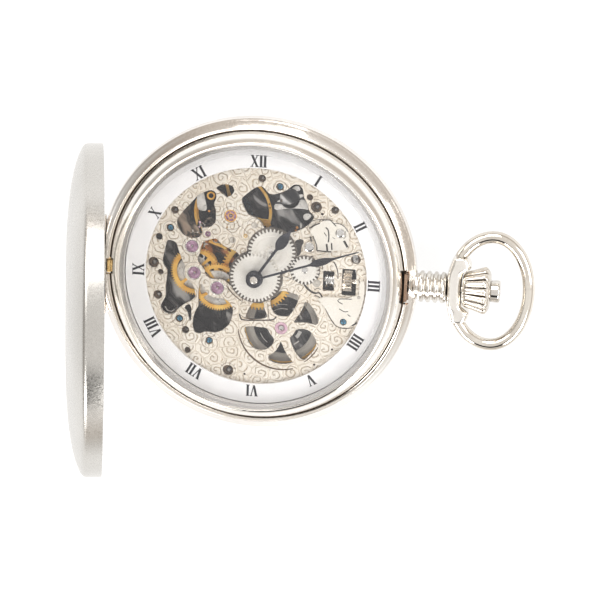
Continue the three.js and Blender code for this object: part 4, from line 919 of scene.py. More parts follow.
def slope(poly, cond, inw, z0, z1, cx_, cy_):
    n = len(poly)
    V, F = [], []
    for i in range(n):
        a, b = poly[i], poly[(i + 1) % n]
        if not (cond(a) and cond(b)):
            continue
        q = []
        for p in (a, b):
            d = math.hypot(p[0] - cx_, p[1] - cy_)
            q.append((cx_ + (p[0] - cx_) * (d - inw) / d, cy_ + (p[1] - cy_) * (d - inw) / d))
        o_ = len(V)
        V += [(*a, z0), (*b, z0), (*q[1], z1), (*q[0], z1)]
        F.append((o_, o_ + 1, o_ + 2, o_ + 3))
    return V, F


for k in WSM:
    W_ = WSM[k]
    n_ = len(W_)
    V_ = [(*q, PT - 0.06) for q in W_] + [(*q, PB - 0.02) for q in W_]
    walls.add((V_, [(i_, (i_ + 1) % n_, n_ + (i_ + 1) % n_, n_ + i_) for i_ in range(n_)]))
make("window_chamfers", walls, WALL, "case", (), 40, fixn=False)
wells = G()
for x, y, r in OPEN:
    wells.add(lathe([(r + 0.03, PT - 0.2), (r + 0.03, PB - 0.30), (r * 0.55, PB - 0.36), (r * 0.5, PB - 0.55), (0, PB - 0.58)], 28, cx=x, cy=y, closed=False))
for x, y, r in SMALLH:
    wells.add(lathe([(r + 0.02, PT - 0.1), (r * 0.7, PB - 0.05), (0, PB - 0.08)], 16, cx=x, cy=y, closed=False))
make("plate_wells", wells, BROWN, "case", (), 40, fixn=False)
gl = G()
for x, y, r in OPEN:
    if r > 0.58:
        gl.add(lathe([(r * 0.42, PB - 0.30), (r * 0.30, PB - 0.12), (0, PB - 0.06)], 20, cx=x + 0.12 * r, cy=y - 0.1 * r, closed=False))
make("plate_well_studs", gl, GREYS, "case", (), 40, fixn=False)

# polished dimples and studs
dm = G()
for x, y, r in ((-0.45, 8.2, .50), (-3.8, 5.6, .50)):
    dm.add(lathe([(r, PT - 0.02), (r, PT + 0.05), (r - 0.06, PT + 0.07), (r * 0.55, PT - 0.06), (0, PT - 0.12)], 28, cx=x, cy=y, closed=False))
dm.add(lathe([(0.40, PT - 0.02), (0.38, PT + 0.09), (0.26, PT + 0.15), (0, PT + 0.17)], 24, cx=9.4 - 0.0, cy=-0.15, closed=False))
make("plate_dimples", dm, BAND, "case", (), 50, fixn=False)
bd = G()
bd.add(lathe([(0.34, PT - 0.02), (0.33, PT + 0.06), (0.22, PT + 0.09), (0.12, PT - 0.02), (0, PT - 0.05)], 24, cx=-1.8, cy=6.4, closed=False))
bd.add(lathe([(0.14, PT - 0.02), (0.12, PT + 0.04), (0, PT + 0.06)], 16, cx=-4.7, cy=7.55, closed=False))
make("plate_brass_pins", bd, BRASS, "case", (), 50, fixn=False)

# raised boss arc and scroll borders round the barrel, cut lines on the plate
cutl = G()


def arc(cx_, cy_, r, a0, a1, n=40):
    return [(cx_ + r * math.cos((a0 + (a1 - a0) * i / n) * RAD), cy_ + r * math.sin((a0 + (a1 - a0) * i / n) * RAD)) for i in range(n + 1)]


def line(path, w, z=PT, h=0.012):
    n = len(path)
    ww = [w * (0.35 + 0.65 * math.sin(PI * min(1, max(0, (i + 0.5) / n))) ** 0.5) for i in range(n)]
    cutl.add(ribbon(path, ww, z - 0.05, z + h))


line(arc(*BARREL, 6.75, 186, 288, 50), 0.27)
line(arc(*BARREL, 6.45, 306, 336, 16), 0.18)
line(catmull([(-2.2, -6.4), (-1.2, -6.9), (0.6, -7.0), (2.3, -6.95), (3.2, -7.2)], 6), 0.10)
line(catmull([(2.3, -6.9), (2.1, -5.4), (1.95, -4.2)], 6), 0.09)
line(catmull([(6.4, -6.6), (7.6, -5.0), (8.3, -3.3)], 6), 0.08)
line(catmull([(-4.6, -1.8), (-3.6, -3.0), (-2.2, -4.1)], 6), 0.16)
line(catmull([(-2.1, -4.3), (-1.9, -3.6)], 4), 0.10)
for cxy, r_, a0, a1 in (((-5.4, 5.6), 1.75, -120, 60), ((-3.6, 5.7), 2.35, -60, 80), ((-0.45, 8.1), 1.15, -70, 190), (BALANCE, 1.45, 0, 360), (BALANCE, 2.2, 200, 330),
                        (THIRD, 1.75, -60, 110), (FOURTH, 1.7, 60, 210), (ESCAPE, 1.45, 20, 330), ((-13.6, -6.0), 1.25, 130, 420), ((-13.6, 6.85), 1.05, -30, 250),
                        ((-11.9, -7.7), 1.15, 100, 400), ((-7.1, -10.95), 1.2, 0, 330), ((3.3, 14.5), 1.0, 150, 400), ((-4.0, -15.6), 1.2, -40, 230), ((9.0, 11.7), 1.25, 30, 260)):
    line(arc(cxy[0], cxy[1], r_, a0, a1, 36), 0.055, h=0.004)
make("plate_cut_lines", cutl, BROWN, "case", (), 40, fixn=False)

# jewels in polished settings
for k, ((x, y), r) in JEW.items():
    g = G()
    b_ = 0.17 if k != "barrel" else 0.44
    prof = fillet([(b_, -1.02), (r, -1.02), (r, -0.62), (r * 0.62, -0.60), (b_ + 0.16, -0.70), (b_, -0.84)], 0.05, 3)
    g.add(lathe(prof, 40, cx=x, cy=y))
    make("jewel_%s_ring" % k, g, RUBY_P if k == "barrel" else RUBY, "case", ("jewel_" + k,), 40)
st = G()
for k in ("third", "fourth", "escape", "balance"):
    (x, y), r = JEW[k]
    st.add(lathe(fillet([(r + 0.02, PT - 0.1), (r + 0.22, PT - 0.1), (r + 0.20, PT + 0.05), (r + 0.05, PT + 0.05)], 0.04, 3), 40, cx=x, cy=y))
    st.add(disc(0.13, -1.1, -0.69, x, y, 16, 0.03))
make("jewel_settings", st, POLISH, "case", (), 40)
# five-armed shock setting over the balance jewel
ly = G()
for i in range(5):
    a = (90 + 72 * i) * RAD
    ly.add(ribbon([(BALANCE[0] + 0.42 * math.cos(a), BALANCE[1] + 0.42 * math.sin(a)), (BALANCE[0] + 0.66 * math.cos(a + 0.25), BALANCE[1] + 0.66 * math.sin(a + 0.25)), (BALANCE[0] + 0.9 * math.cos(a + 0.1), BALANCE[1] + 0.9 * math.sin(a + 0.1))], 0.10, -0.62, -0.55))
ly.add(lathe(fillet([(0.34, -0.64), (0.46, -0.64), (0.46, -0.54), (0.34, -0.54)], 0.02, 2), 32, cx=BALANCE[0], cy=BALANCE[1]))
ly.add(lathe(fillet([(0.84, -0.64), (0.98, -0.64), (0.98, -0.53), (0.84, -0.53)], 0.02, 2), 40, cx=BALANCE[0], cy=BALANCE[1]))
make("shock_spring", ly, GOLD_B, "case", (), 40)

# screws: domed slotted heads in their recesses
def screw(x, y, r, ztop, zbot, ang, sw=0.12, sd=0.10, dome=0.05):
    p = [(0, zbot), (r * 0.96, zbot), (r, zbot + 0.04), (r, ztop - dome - 0.03), (r * 0.93, ztop - dome), (r * 0.6, ztop - dome * 0.35), (0, ztop)]
    g = G().add(lathe(p, 40, cx=x, cy=y, closed=False))
    c, s = math.cos(ang), math.sin(ang)
    L = r * 1.3
    o_ = [(x + c * L - s * sw / 2, y + s * L + c * sw / 2), (x - c * L - s * sw / 2, y - s * L + c * sw / 2), (x - c * L + s * sw / 2, y - s * L - c * sw / 2), (x + c * L + s * sw / 2, y + s * L - c * sw / 2)]
    return cutting(g, [G().add(plate(o_, (), ztop - sd, ztop + 0.2, 0.0))])


for i, (x, y) in enumerate(SCREWS, 1):
    zt, zb = (-0.30, -0.95) if i == 5 else (-0.66, -1.0)
    make("screw_blued_%d" % i, screw(x, y, 0.40, zt, zb, rnd.uniform(0, PI)), BLUE, "case", ("blued_screw_%d" % i,), 40)
# painted shade: the recess walls round the first four screws are dark brown
sk = G()
for x, y in SCREWS[:4]:
    sk.add(lathe([(0.60, PT + 0.01), (0.56, PT - 0.10), (0.47, PT - 0.16), (0.47, PB)], 32, cx=x, cy=y, closed=False))
make("screw_recesses", sk, BROWN, "case", (), 40, fixn=False)

# ------------------------------------------------------- keyless work plates
def annotated(outline, holes, z0, z1, bev=0.05, it=2):
    return plate(chaikin(outline, it), holes, z0, z1, bev, 2)


lsp = [(8.7, 7.1), (9.35, 5.2), (9.6, 4.75), (14.0, 5.3), (14.35, 6.1), (14.1, 8.5), (13.3, 9.35), (12.0, 9.6), (11.0, 9.95), (9.9, 9.6), (8.0, 8.1)]
kg = G().add(annotated(lsp, [circle(0.72, 32, 12.85, 7.9)], -0.55, -0.25))
make("setting_lever_spring_plate", kg, PLATE_PLAIN, "case", ("setting_lever_spring",), 30)
kc = [(9.3, -2.35), (10.9, -3.95), (12.1, -5.95), (13.0, -6.9), (14.2, -7.15), (15.45, -6.6), (16.35, -5.0), (17.0, -2.2), (17.0, 0.6), (16.1, 0.6), (16.1, -2.35)]
kg = G().add(annotated(kc, [circle(0.54, 28, 13.9, -6.2)], -0.55, -0.25, 0.05, 1))
make("keyless_cover_plate", kg, PLATE_PLAIN, "case", ("keyless_cover",), 30)
for nm, x, y, r, zt, zb, an, node in (("cover_screw_head", 12.85, 7.9, 0.65, -0.15, -0.50, 0.9, "cover_screw"), ("lever_screw_head", 8.15, 5.35, 0.75, -0.30, -0.55, 0.15, "lever_screw")):
    g = screw(x, y, r, zt, zb, an, 0.13, 0.10, 0.04)
    g2 = G(); g2.v, g2.f, g2.m = g.v, g.f, [0] * len(g.f)
    g2.add(disc(0.29, -1.45, zb + 0.02, x, y, 20, 0.03))
    make(nm, g2, POLISH, "case", (node,), 40)

# cut-outs, wire springs and painted edge shadows of the keyless work
kd = G()


def dark(path, w, z=-0.25, h=0.006, per=6):
    kd.add(ribbon(catmull(path, per), w, z - 0.03, z + h))


dark([(8.1, 8.4), (8.9, 8.9), (9.7, 9.3)], 0.16)
dark([(7.7, 8.3), (8.3, 9.4), (9.4, 9.85), (10.5, 9.9)], 0.08)
dark([(10, 9.8), (11.2, 9.9), (11.8, 9.4), (12.2, 9)], 0.15)
dark([(11.8, 9.4), (12.8, 9.4), (13.6, 8.9), (14, 8.3)], 0.11)
dark([(10.6, 8.7), (11, 8.3), (11.15, 7.3), (11.1, 6.4)], 0.20)
dark([(10.4, 7.9), (10.8, 7.3)], 0.12)
dark([(8.3, 7.1), (8.5, 6.3)], 0.24)
dark([(8.7, 7.2), (9.3, 5.8), (9.4, 5)], 0.15)
dark([(9.4, 4.95), (11.6, 4.9)], 0.18)
dark([(10.85, 6.1), (11, 5)], 0.28)
dark([(11.6, 6.3), (11.7, 5.2)], 0.20)
dark([(13.5, 6.8), (14.1, 5.8)], 0.34)
dark([(13.1, -2.7), (13.3, -2.5), (15.1, -2.4)], 0.12)
dark([(12.9, -2.7), (13.1, -3), (13.7, -3.3)], 0.12)
dark([(13.2, -4.1), (14, -4.5), (14.6, -4.4)], 0.12)
dark([(14.5, -4.9), (15, -5.2)], 0.12)
dark([(13.65, 8.35), (13.75, 7.5), (13.4, 7.1)], 0.08)
dark([(11.7, 7.2), (12.1, 7)], 0.08)
make("keyless_cut_and_painted_shadow_lines", kd, BLACK, "case", (), 40, fixn=False)
kl = G()


def low(path, w, z=PT, h=0.006):
    kl.add(ribbon(catmull(path, 6), w, z - 0.05, z + h))


low([(7.6, -0.7), (8.1, -1.3), (8.8, -1.8), (9.4, -2)], 0.32)
low([(9.4, -2), (10, -1.9), (10.6, -2.8), (11.4, -4.2), (12.1, -5.6), (12.9, -6.6), (14, -6.9), (15.3, -6.7), (16, -6.2)], 0.24)
low([(9.2, -2.4), (10, -2.6), (10.9, -4.1), (11.8, -5.8), (12.8, -7), (14, -7.3), (15.4, -7.1)], 0.13)
low([(4.6, 0.3), (5.4, 0.1), (6.4, -0.1), (7.3, -0.2)], 0.08)
low([(5.9, 0.9), (6.6, 0.5), (7.2, 0.35)], 0.20)
low([(8.1, 3.3), (9.2, 3)], 0.13)
low([(8.1, 3.6), (8.8, 3.95)], 0.17)
low([(12, 3.3), (12.5, 2.4), (12.75, 1.4), (12.75, 0.6)], 0.14)
low([(16, 0.6), (16.4, -0.3), (17, -1.9)], 0.10)
low([(-2.4, -6.2), (-2.2, -6.9), (-1.8, -7.15), (-0.2, -7.1), (2.7, -6.8), (3.4, -6.2)], 0.20)
low([(9.9, 3.1), (10.3, 2.5), (10.3, 1.9)], 0.10)
low([(7.4, 2.9), (8, 2.4), (8.9, 2.5)], 0.08)
low([(9.1, -1.5), (9.6, -1.2), (10.2, -1.3)], 0.10)
low([(12.3, -2.3), (12.4, -3.3), (12.1, -4.4)], 0.07)
make("plate_keyless_lines", kl, BLACK, "case", (), 40, fixn=False)
# painted shade: flat dark patches round the setting wheel where its recess pockets lie
pk = G()
for poly in ([(4.55, 5.5), (4.8, 4.4), (5.3, 4.0), (5.35, 4.9), (4.95, 5.7)], [(5.75, 6.1), (6.9, 6.6), (7.35, 6.1), (6.9, 5.3), (6.95, 4.2), (6.2, 3.5), (5.9, 4.3), (6.15, 5.2)],
             [(2.5, 3.0), (3.2, 2.9), (3.75, 2.2), (4.2, 1.1), (3.6, 1.3), (3.0, 2.1)], [(6.9, 3.2), (7.45, 2.7), (7.4, 1.9), (6.95, 2.3)]):
    pk.add(plate(chaikin(poly, 2), (), PT - 0.02, PT + 0.006, 0.0))
make("motion_work_pocket_shade", pk, BLACK, "case", (), 40)
# little toothed pinion and studs beside the setting wheel
sp_ = G().add(plate(gear(14, 0.70, 0.18, 0.1, 9.0, 1.5), [circle(0.16, 14, 9.0, 1.5)], PT - 0.02, PT + 0.12, 0.02))
make("intermediate_pinion", sp_, NICK_S, "case", (), 40)
sb = G()
sb.add(disc(0.62, PT - 0.02, PT + 0.10, 9.5, -0.35, 36, 0.05))
sb.add(disc(0.26, -0.27, -0.12, 16.15, -2.05, 20, 0.04))
make("keyless_studs", sb, BAND, "case", (), 40)

# clutch, winding pinion, setting lever
V, F = [], []


def castle(x0, x1, r0, r1, n, phase=0.0, duty=0.5):
    """Ring of axial teeth about the stem axis."""
    g = G()
    for i in range(n):
        a0_, a1_ = phase + 2 * PI * i / n, phase + 2 * PI * (i + duty) / n
        g.add(lathe([(r0, x0), (r1, x0), (r1, x1), (r0, x1)], 4, "x", a0=a0_, a1=a1_))
        for a in (a0_, a1_):
            q = [(x0, r0), (x0, r1), (x1, r1), (x1, r0)]
            g.add(([(x, r * math.cos(a), MID + r * math.sin(a)) for x, r in q], [(0, 1, 2, 3)]))
    return g


cg_ = G().add(lathe(fillet([(0.70, 10.95), (1.26, 10.95), (1.28, 11.15), (0.98, 11.25), (0.98, 11.85), (1.28, 11.95), (1.28, 12.2), (0.70, 12.2)], 0.04, 2), 48, "x"))
for part in (castle(10.76, 10.96, 0.70, 1.27, 12), castle(12.19, 12.39, 0.70, 1.27, 12, 0.1)):
    cg_.add((part.v, part.f))
make("clutch_sliding", cg_, STEEL, "clutch", ("sliding_clutch",), 35)
wo = gear(12, 1.62, 0.24, 0.0, 0, 0, 0.45, 1.0, 0.5)
wv, wf = plate(wo, [circle(0.66, 24)], 13.5, 14.9, 0.05, 2)
wv = [(z, x, y + MID) for x, y, z in wv]
wg = G().add((wv, wf))
make("winding_pinion_cut", wg, turned_metal("steel_winding", (0.5, 0.44, 0.36), (0.78, 0.72, 0.64), (0, 0)), "clutch", ("winding_pinion",), 30)
slv = [(12.3, 8.5), (12.2, 7.5), (14.6, 5.0), (15.5, 1.1), (15.9, 1.1), (15.7, 4.6), (14.0, 7.6), (13.4, 8.5)]
make("setting_lever_arm", G().add(plate(chaikin(slv, 2, 0.2), [circle(0.36, 20, 12.85, 7.9)], -1.40, -1.20, 0.03)), STEEL, "lever", ("setting_lever",), 35)
# floor of the keyless pocket: cream bridge bars across the dark opening
kb = G()
kb.add(box(12.55, 13.25, -2.2, 2.25, -3.9, -3.5, 0.05))
make("keyless_floor", kb, PLATE_PLAIN, "case", (), 30)

# -------------------------------------------------------------- motion work
T_C, T_M, T_MP, T_H, T_S = 12, 36, 10, 40, 22
mA = 2 * math.hypot(*MINUTE) / (T_C + T_M)
mB = 2 * math.hypot(*MINUTE) / (T_MP + T_H)


def ang(a, b):
    return math.atan2(b[1] - a[1], b[0] - a[0])


aCM, aMS = ang(C0, MINUTE), ang(MINUTE, SETTING)
mph = aCM + PI + PI / T_M
cp = G().add(plate(gear(T_C, mA * T_C / 2, mA, aCM, 0, 0, 0.5), [circle(0.3, 16)], -0.52, -0.20, 0.02))
cp.add(disc(0.42, -0.9, 1.28, n=28, bev=0.03))
make("cannon_pinion_leaf", cp, POLISH, "minute_hand", ("cannon_pinion",), 35)
mw = G().add(plate(gear(T_M, mA * T_M / 2, mA, mph, *MINUTE, 0.55, 2.1, 0.5), [circle(0.34, 20, *MINUTE)], -0.48, -0.30, 0.02))
mw.add(lathe(fillet([(1.5, -0.34), (2.55, -0.34), (2.50, -0.26), (1.6, -0.26)], 0.02, 2), 60, cx=MINUTE[0], cy=MINUTE[1]))
mw.add(plate(gear(T_MP, mB * T_MP / 2, mB, aCM + PI, *MINUTE, 0.5), [circle(0.34, 20, *MINUTE)], -0.32, 0.09, 0.02))
make("minute_wheel_cut", mw, NICK_M, "minute_wheel", ("minute_wheel",), 35)
hw = G().add(plate(gear(T_H, mB * T_H / 2, mB, aCM + PI / T_H, 0, 0, 0.6, 2.1, 0.5), [circle(0.80, 32)], -0.14, 0.055, 0.02))
make("hour_wheel_cut", hw, NICK_H, "hour_hand", ("hour_wheel",), 35)
kk = round((aMS - mph) / (2 * PI / T_M))
terr = aMS - (mph + kk * 2 * PI / T_M)
stip = aMS + PI + PI / T_S + terr * (T_M / T_S)
sw = G().add(plate(gear(T_S, mA * T_S / 2, mA, stip, *SETTING, 0.5, 2.0, 0.5), [circle(0.5, 20, *SETTING)], -0.48, -0.26, 0.02))
make("setting_wheel_cut", sw, NICK_S, "setting_wheel", ("setting_wheel",), 35)
ss = G().add(disc(0.46, -0.62, -0.20, *SETTING, 24, 0.05)).add(disc(0.30, -0.62, 0.02, *MINUTE, 20, 0.04))
make("wheel_studs", ss, POLISH, "case", (), 40)

# --------------------------------------------------------------------- hands
HOUR_A, MIN_A = 56.2 * RAD, 19.3 * RAD


def hand_outline(length, at, ll, lw, w):
    """Half outline of a leaf hand along +X, mirrored."""
    pts = [(0.3, w * 0.62), (1.3, w * 0.52), (at - ll * 0.62, w * 0.46), (at - ll * 0.47, w * 0.55), (at - ll * 0.38, lw * 0.30), (at - ll * 0.25, lw * 0.445), (at - ll * 0.08, lw * 0.50),
           (at + ll * 0.10, lw * 0.47), (at + ll * 0.26, lw * 0.34), (at + ll * 0.40, lw * 0.20), (at + ll * 0.52, w * 0.50), (at + ll * 0.72, w * 0.42), (length - 0.5, w * 0.30), (length, 0.035)]
    return pts + [(x, -y) for x, y in reversed(pts)]


def hand(length, at, ll, lw, w, z0, z1, a):
    o_ = hand_outline(length, at, ll, lw, w)
    c, s = math.cos(a), math.sin(a)
    return plate([(x * c - y * s, x * s + y * c) for x, y in o_], (), z0, z1, 0.035, 2)


hh = G().add(hand(10.4, 7.6, 3.5, 1.72, 0.42, 0.72, 0.88, HOUR_A))
hh.add(lathe(fillet([(0.62, 0.12), (1.05, 0.12), (1.05, 0.72), (1.34, 0.72), (1.34, 0.88), (0.62, 0.88)], 0.04, 3), 56))
make("hour_hand_leaf", hh, GUN, "hour_hand", ("hour_hand",), 40)
mh = G().add(hand(17.0, 11.0, 4.0, 1.18, 0.34, 1.32, 1.44, MIN_A))
mh.add(lathe(fillet([(0.60, 1.32), (1.24, 1.32), (1.24, 1.62), (0.98, 1.74), (0.66, 1.74), (0.60, 1.66)], 0.05, 3), 64))
make("minute_hand_leaf", mh, GUN, "minute_hand", ("minute_hand",), 40)
hc = G().add(lathe([(0.60, 1.34), (0.60, 1.66), (0.50, 1.71), (0.30, 1.74), (0, 1.75)], 40, closed=False))
make("hand_cap", hc, enamel("cap_cream", (0.66, 0.61, 0.55), (0.78, 0.74, 0.68), (0.2, 0.3), metallic=0.6), "minute_hand", (), 40)

# --------------------------------------------------------------- going train
mBar = 2 * math.hypot(*BARREL) / (56 + 8)
aBC, aC3, a34, a4E = ang(BARREL, C0), ang(C0, THIRD), ang(THIRD, FOURTH), ang(FOURTH, ESCAPE)
bd_ = G()
bd_.add(plate(gear(56, mBar * 28, mBar, aBC, *BARREL, 0.5), [circle(6.0, 80, *BARREL)], -3.05, -2.80, 0.03))
bd_.add(lathe(fillet([(5.95, -3.35), (6.6, -3.35), (6.6, -2.35), (5.95, -2.35)], 0.1, 3), 120, cx=BARREL[0], cy=BARREL[1]))
make("barrel_teeth", bd_, GOLD_C, "barrel", ("barrel_drum",), 35)
bf = G().add(lathe(fillet([(0.74, -2.66), (4.75, -2.66), (4.75, -2.60), (0.74, -2.60)], 0.02, 2), 120, cx=BARREL[0], cy=BARREL[1]))
bf.add(lathe(fillet([(0.74, -2.62), (1.9, -2.62), (1.85, -2.42), (0.8, -2.42)], 0.08, 3), 80, cx=BARREL[0], cy=BARREL[1]))
make("barrel_lid", bf, DARKS, "barrel", (), 35)
br = G().add(lathe(fillet([(4.60, -2.62), (5.98, -2.62), (5.98, -2.36), (5.20, -2.36), (5.12, -2.40), (4.66, -2.40)], 0.04, 3), 140, cx=BARREL[0], cy=BARREL[1]))
make("barrel_rim_band", br, BAND, "barrel", (), 30)
# painted highlights: bright arcs laid on the dark barrel lid
bs3 = G()
for a0_, a1_, r_, w_ in ((20, 62, 3.1, 0.30), (75, 130, 2.6, 0.16), (80, 128, 3.3, 0.10), (205, 232, 3.9, 0.10), (318, 342, 2.9, 0.55), (300, 316, 3.6, 0.22), (150, 168, 2.9, 0.35)):
    bs3.add(ribbon(arc(*BARREL, r_, a0_, a1_, 24), w_, -2.61, -2.585))
make("barrel_lid_painted_highlights", bs3, GREYL, "barrel", (), 35)
ba = G().add(disc(0.40, -4.42, -0.66, *BARREL, 28, 0.05)).add(disc(0.62, -3.3, -2.30, *BARREL, 28, 0.05))
make("barrel_arbor_turned", ba, POLISH, "barrel_arbor", ("barrel_arbor",), 35)


def spiral(r0, r1, turns, w, z0, z1, c, per=48, hand_=1):
    n = int(turns * per)
    return ribbon([(c[0] + (r0 + (r1 - r0) * i / n) * math.cos(hand_ * 2 * PI * i / per), c[1] + (r0 + (r1 - r0) * i / n) * math.sin(hand_ * 2 * PI * i / per)) for i in range(n + 1)], w, z0, z1)


make("mainspring_coil", G().add(spiral(1.2, 5.6, 9, 0.12, -3.28, -2.72, BARREL)), STEEL, "barrel", ("mainspring",), 50)
m80 = 2 * math.hypot(*THIRD) / (64 + 8)
cw = G().add(plate(gear(64, m80 * 32, m80, aC3, 0, 0, 0.6, 1.8, 0.5), spokes(4, 1.5, 4.7, 0.28, 0.3, 0, 0), -2.12, -1.94, 0.03))
cw.add(plate(gear(8, mBar * 4, mBar, aBC + PI + PI / 8, 0, 0, 0.5), (), -3.15, -2.0, 0.03))
cw.add(disc(0.35, -4.3, -0.95, n=24)).add(disc(0.9, -2.0, -1.86, n=40))
make("centre_wheel_cut", cw, GOLD_C, "centre_wheel", ("centre_wheel",), 35)
m75 = 2 * math.dist(THIRD, FOURTH) / (60 + 8)
tw = G().add(plate(gear(60, m75 * 30, m75, a34, *THIRD, 0.7, 1.9, 0.5), spokes(4, 1.0, 3.0, 0.22, 0.6, *THIRD), -1.42, -1.24, 0.03))
tw.add(plate(gear(8, m80 * 4, m80, aC3 + PI + PI / 8, *THIRD, 0.5), (), -2.35, -1.86, 0.02))
tw.add(disc(0.24, -1.9, -1.3, *THIRD, 20)).add(disc(0.12, -4.5, -0.75, *THIRD, 14, 0.02))
make("third_wheel_cut", tw, GOLD_3, "third_wheel", ("third_wheel",), 35)
m4 = 2 * math.dist(FOURTH, ESCAPE) / (60 + 6)
fw = G().add(plate(gear(60, m4 * 30, m4, a4E, *FOURTH, 0.7, 1.9, 0.5), spokes(4, 0.9, 2.95, 0.22, 0.78, *FOURTH), -1.78, -1.60, 0.03))
fw.add(plate(gear(8, m75 * 4, m75, a34 + PI + PI / 8, *FOURTH, 0.5), (), -1.7, -1.15, 0.02))
fw.add(disc(0.12, -4.5, -0.75, *FOURTH, 14, 0.02))
make("fourth_wheel_cut", fw, GOLD_4, "fourth_wheel", ("fourth_wheel",), 35)
eo = []
for i in range(15):
    a = i / 15 * 2 * PI
    for da, r in ((0.0, 2.3), (0.035, 2.24), (0.08, 1.86), (0.12, 1.76), (0.24, 1.74), (0.33, 1.78), (0.40, 2.16)):
        eo.append((ESCAPE[0] + r * math.cos(a + da), ESCAPE[1] + r * math.sin(a + da)))
ew = G().add(plate(eo, spokes(4, 0.55, 1.4, 0.16, 0.2, *ESCAPE), -2.55, -2.40, 0.02))
ew.add(plate(gear(6, m4 * 3, m4, a4E + PI + PI / 6, *ESCAPE, 0.5), (), -2.45, -1.5, 0.01)).add(disc(0.12, -4.5, -0.75, *ESCAPE, 14, 0.02))
make("escape_wheel_cut", ew, POLISH, "escape_wheel", ("escape_wheel",), 35)
toE, toB = ang(PALLET, ESCAPE), ang(PALLET, BALANCE)


def at(a, r, s):
    return (PALLET[0] + r * math.cos(a) - s * math.sin(a), PALLET[1] + r * math.sin(a) + s * math.cos(a))


fo = [at(toB, 3.5, 0.5), at(toB, 2.9, 0.18), at(toB, 0.5, 0.2), at(toE, 0.05, -1.9), at(toE, 0.55, -2.35), at(toE, 0.75, -2.0), at(toE, 0.45, -0.5),
      at(toE, 0.45, 0.5), at(toE, 0.75, 2.0), at(toE, 0.55, 2.35), at(toE, 0.05, 1.9), at(toB, 0.5, -0.2), at(toB, 2.9, -0.18), at(toB, 3.5, -0.5), at(toB, 3.2, 0)]
pf = G().add(plate(chaikin(fo, 1, 0.15), (), -2.62, -2.36, 0.03)).add(disc(0.12, -3.12, -0.75, *PALLET, 14, 0.02)).add(disc(0.42, -2.62, -2.2, *PALLET, 24, 0.04))
make("pallet_fork_arm", pf, POLISH, "pallet_fork", ("pallet_fork",), 35)

# balance: rim with timing screws, three arms, safety roller
bw = G().add(plate(circle(6.0, 160, *BALANCE), spokes(3, 0.9, 5.55, 0.24, 106 * RAD, *BALANCE), -3.60, -3.24, 0.05, 2))
bw.add(disc(0.55, -3.3, -2.85, *BALANCE, 28)).add(disc(0.12, -4.6, -0.75, *BALANCE, 14, 0.02)).add(disc(0.3, -4.1, -1.3, *BALANCE, 20, 0.04))
make("balance_rim", bw, GOLD_B, "balance", ("balance_wheel",), 35)
bs_ = G()
for a in (10, 16, 78, 84, 130, 136, 198, 204, 250, 256, 318, 324):
    bs_.add(disc(0.12, -3.26, -3.215, BALANCE[0] + 5.78 * math.cos(a * RAD), BALANCE[1] + 5.78 * math.sin(a * RAD), 14, 0.02))
make("balance_rim_holes", bs_, BLACK, "balance", (), 40)
make("hairspring_coil", G().add(spiral(0.55, 2.9, 11, 0.045, -3.98, -3.82, BALANCE)), BLUE, "balance", ("hairspring",), 50)
# shapes under the windows; outlines are given as seen on the plate's face and set back along the sight line
EYE = (50.832, 95.889, 328.110)


def back(poly, z):
    t = (z - EYE[2]) / (PT - EYE[2])
    return [(EYE[0] + (x - EYE[0]) * t, EYE[1] + (y - EYE[1]) * t) for x, y in poly]


def under(g, poly, z, th=0.08, it=2, bev=0.03):
    g.add(plate(chaikin(back(poly, z), it), (), z - th, z, bev, 2))


def streak(g, path, w, z, th=0.05):
    g.add(ribbon(back(catmull(path, 8), z), w, z - th, z))


lg_, md_, am_, gd_ = G(), G(), G(), G()
ey = G().add(lathe(fillet([(0.36, -1.30), (0.68, -1.30), (0.66, -1.10), (0.40, -1.10)], 0.06, 3), 40, cx=back([(-7.35, 12.35)], -1.1)[0][0], cy=back([(-7.35, 12.35)], -1.1)[0][1]))
make("stud_eyelet", ey, GOLD_B, "case", (), 40)
under(lg_, [(-9.6, 12.7), (-9.5, 10.1), (-8.6, 9.8), (-7.9, 10.0), (-8.05, 11.0), (-8.3, 12.0), (-8.45, 12.9)], -1.30)
streak(am_, [(-8.2, 7.5), (-7.4, 7.8), (-6.9, 8.4), (-7.0, 8.9), (-7.8, 8.6), (-8.2, 8.0)], 0.30, -1.2)
streak(am_, [(-9.0, 8.3), (-9.2, 7.6), (-8.9, 6.9), (-8.8, 6.3)], 0.35, -1.15)
streak(gd_, [(-9.0, 12.6), (-9.5, 11.4), (-9.72, 10.0), (-9.6, 8.7), (-9.25, 7.6)], 0.42, -2.9)
streak(gd_, [(-4.95, 14.6), (-4.75, 13.5), (-4.5, 12.3)], 0.46, -2.9)
pr = G().add(disc(0.20, -1.3, -1.10, *back([(-9.0, 8.05)], -1.1)[0], 20, 0.06)).add(disc(0.16, -1.3, -1.12, *back([(-9.05, 7.3)], -1.1)[0], 20, 0.05))
make("impulse_jewel", pr, RUBY_P, "case", (), 40)
# left window: dark well with soft grey bands, light ground inside the fourth wheel
g_ = G()
g_.add(disc(2.75, -2.06, -1.98, *back([FOURTH], -2.0)[0], 60, 0.02))
g_.add(disc(2.85, -1.62, -1.54, *back([THIRD], -1.6)[0], 60, 0.02))
make("wheel_ground", g_, GREYL, "case", (), 35)
streak(lg_, [(-14.2, -5.9), (-13.8, -6.5), (-13.1, -6.6), (-12.7, -6.2)], 0.16, -1.5)
streak(am_, [(-14.7, -5.9), (-14.2, -6.7), (-13.4, -6.95), (-12.7, -6.7)], 0.26, -1.3)
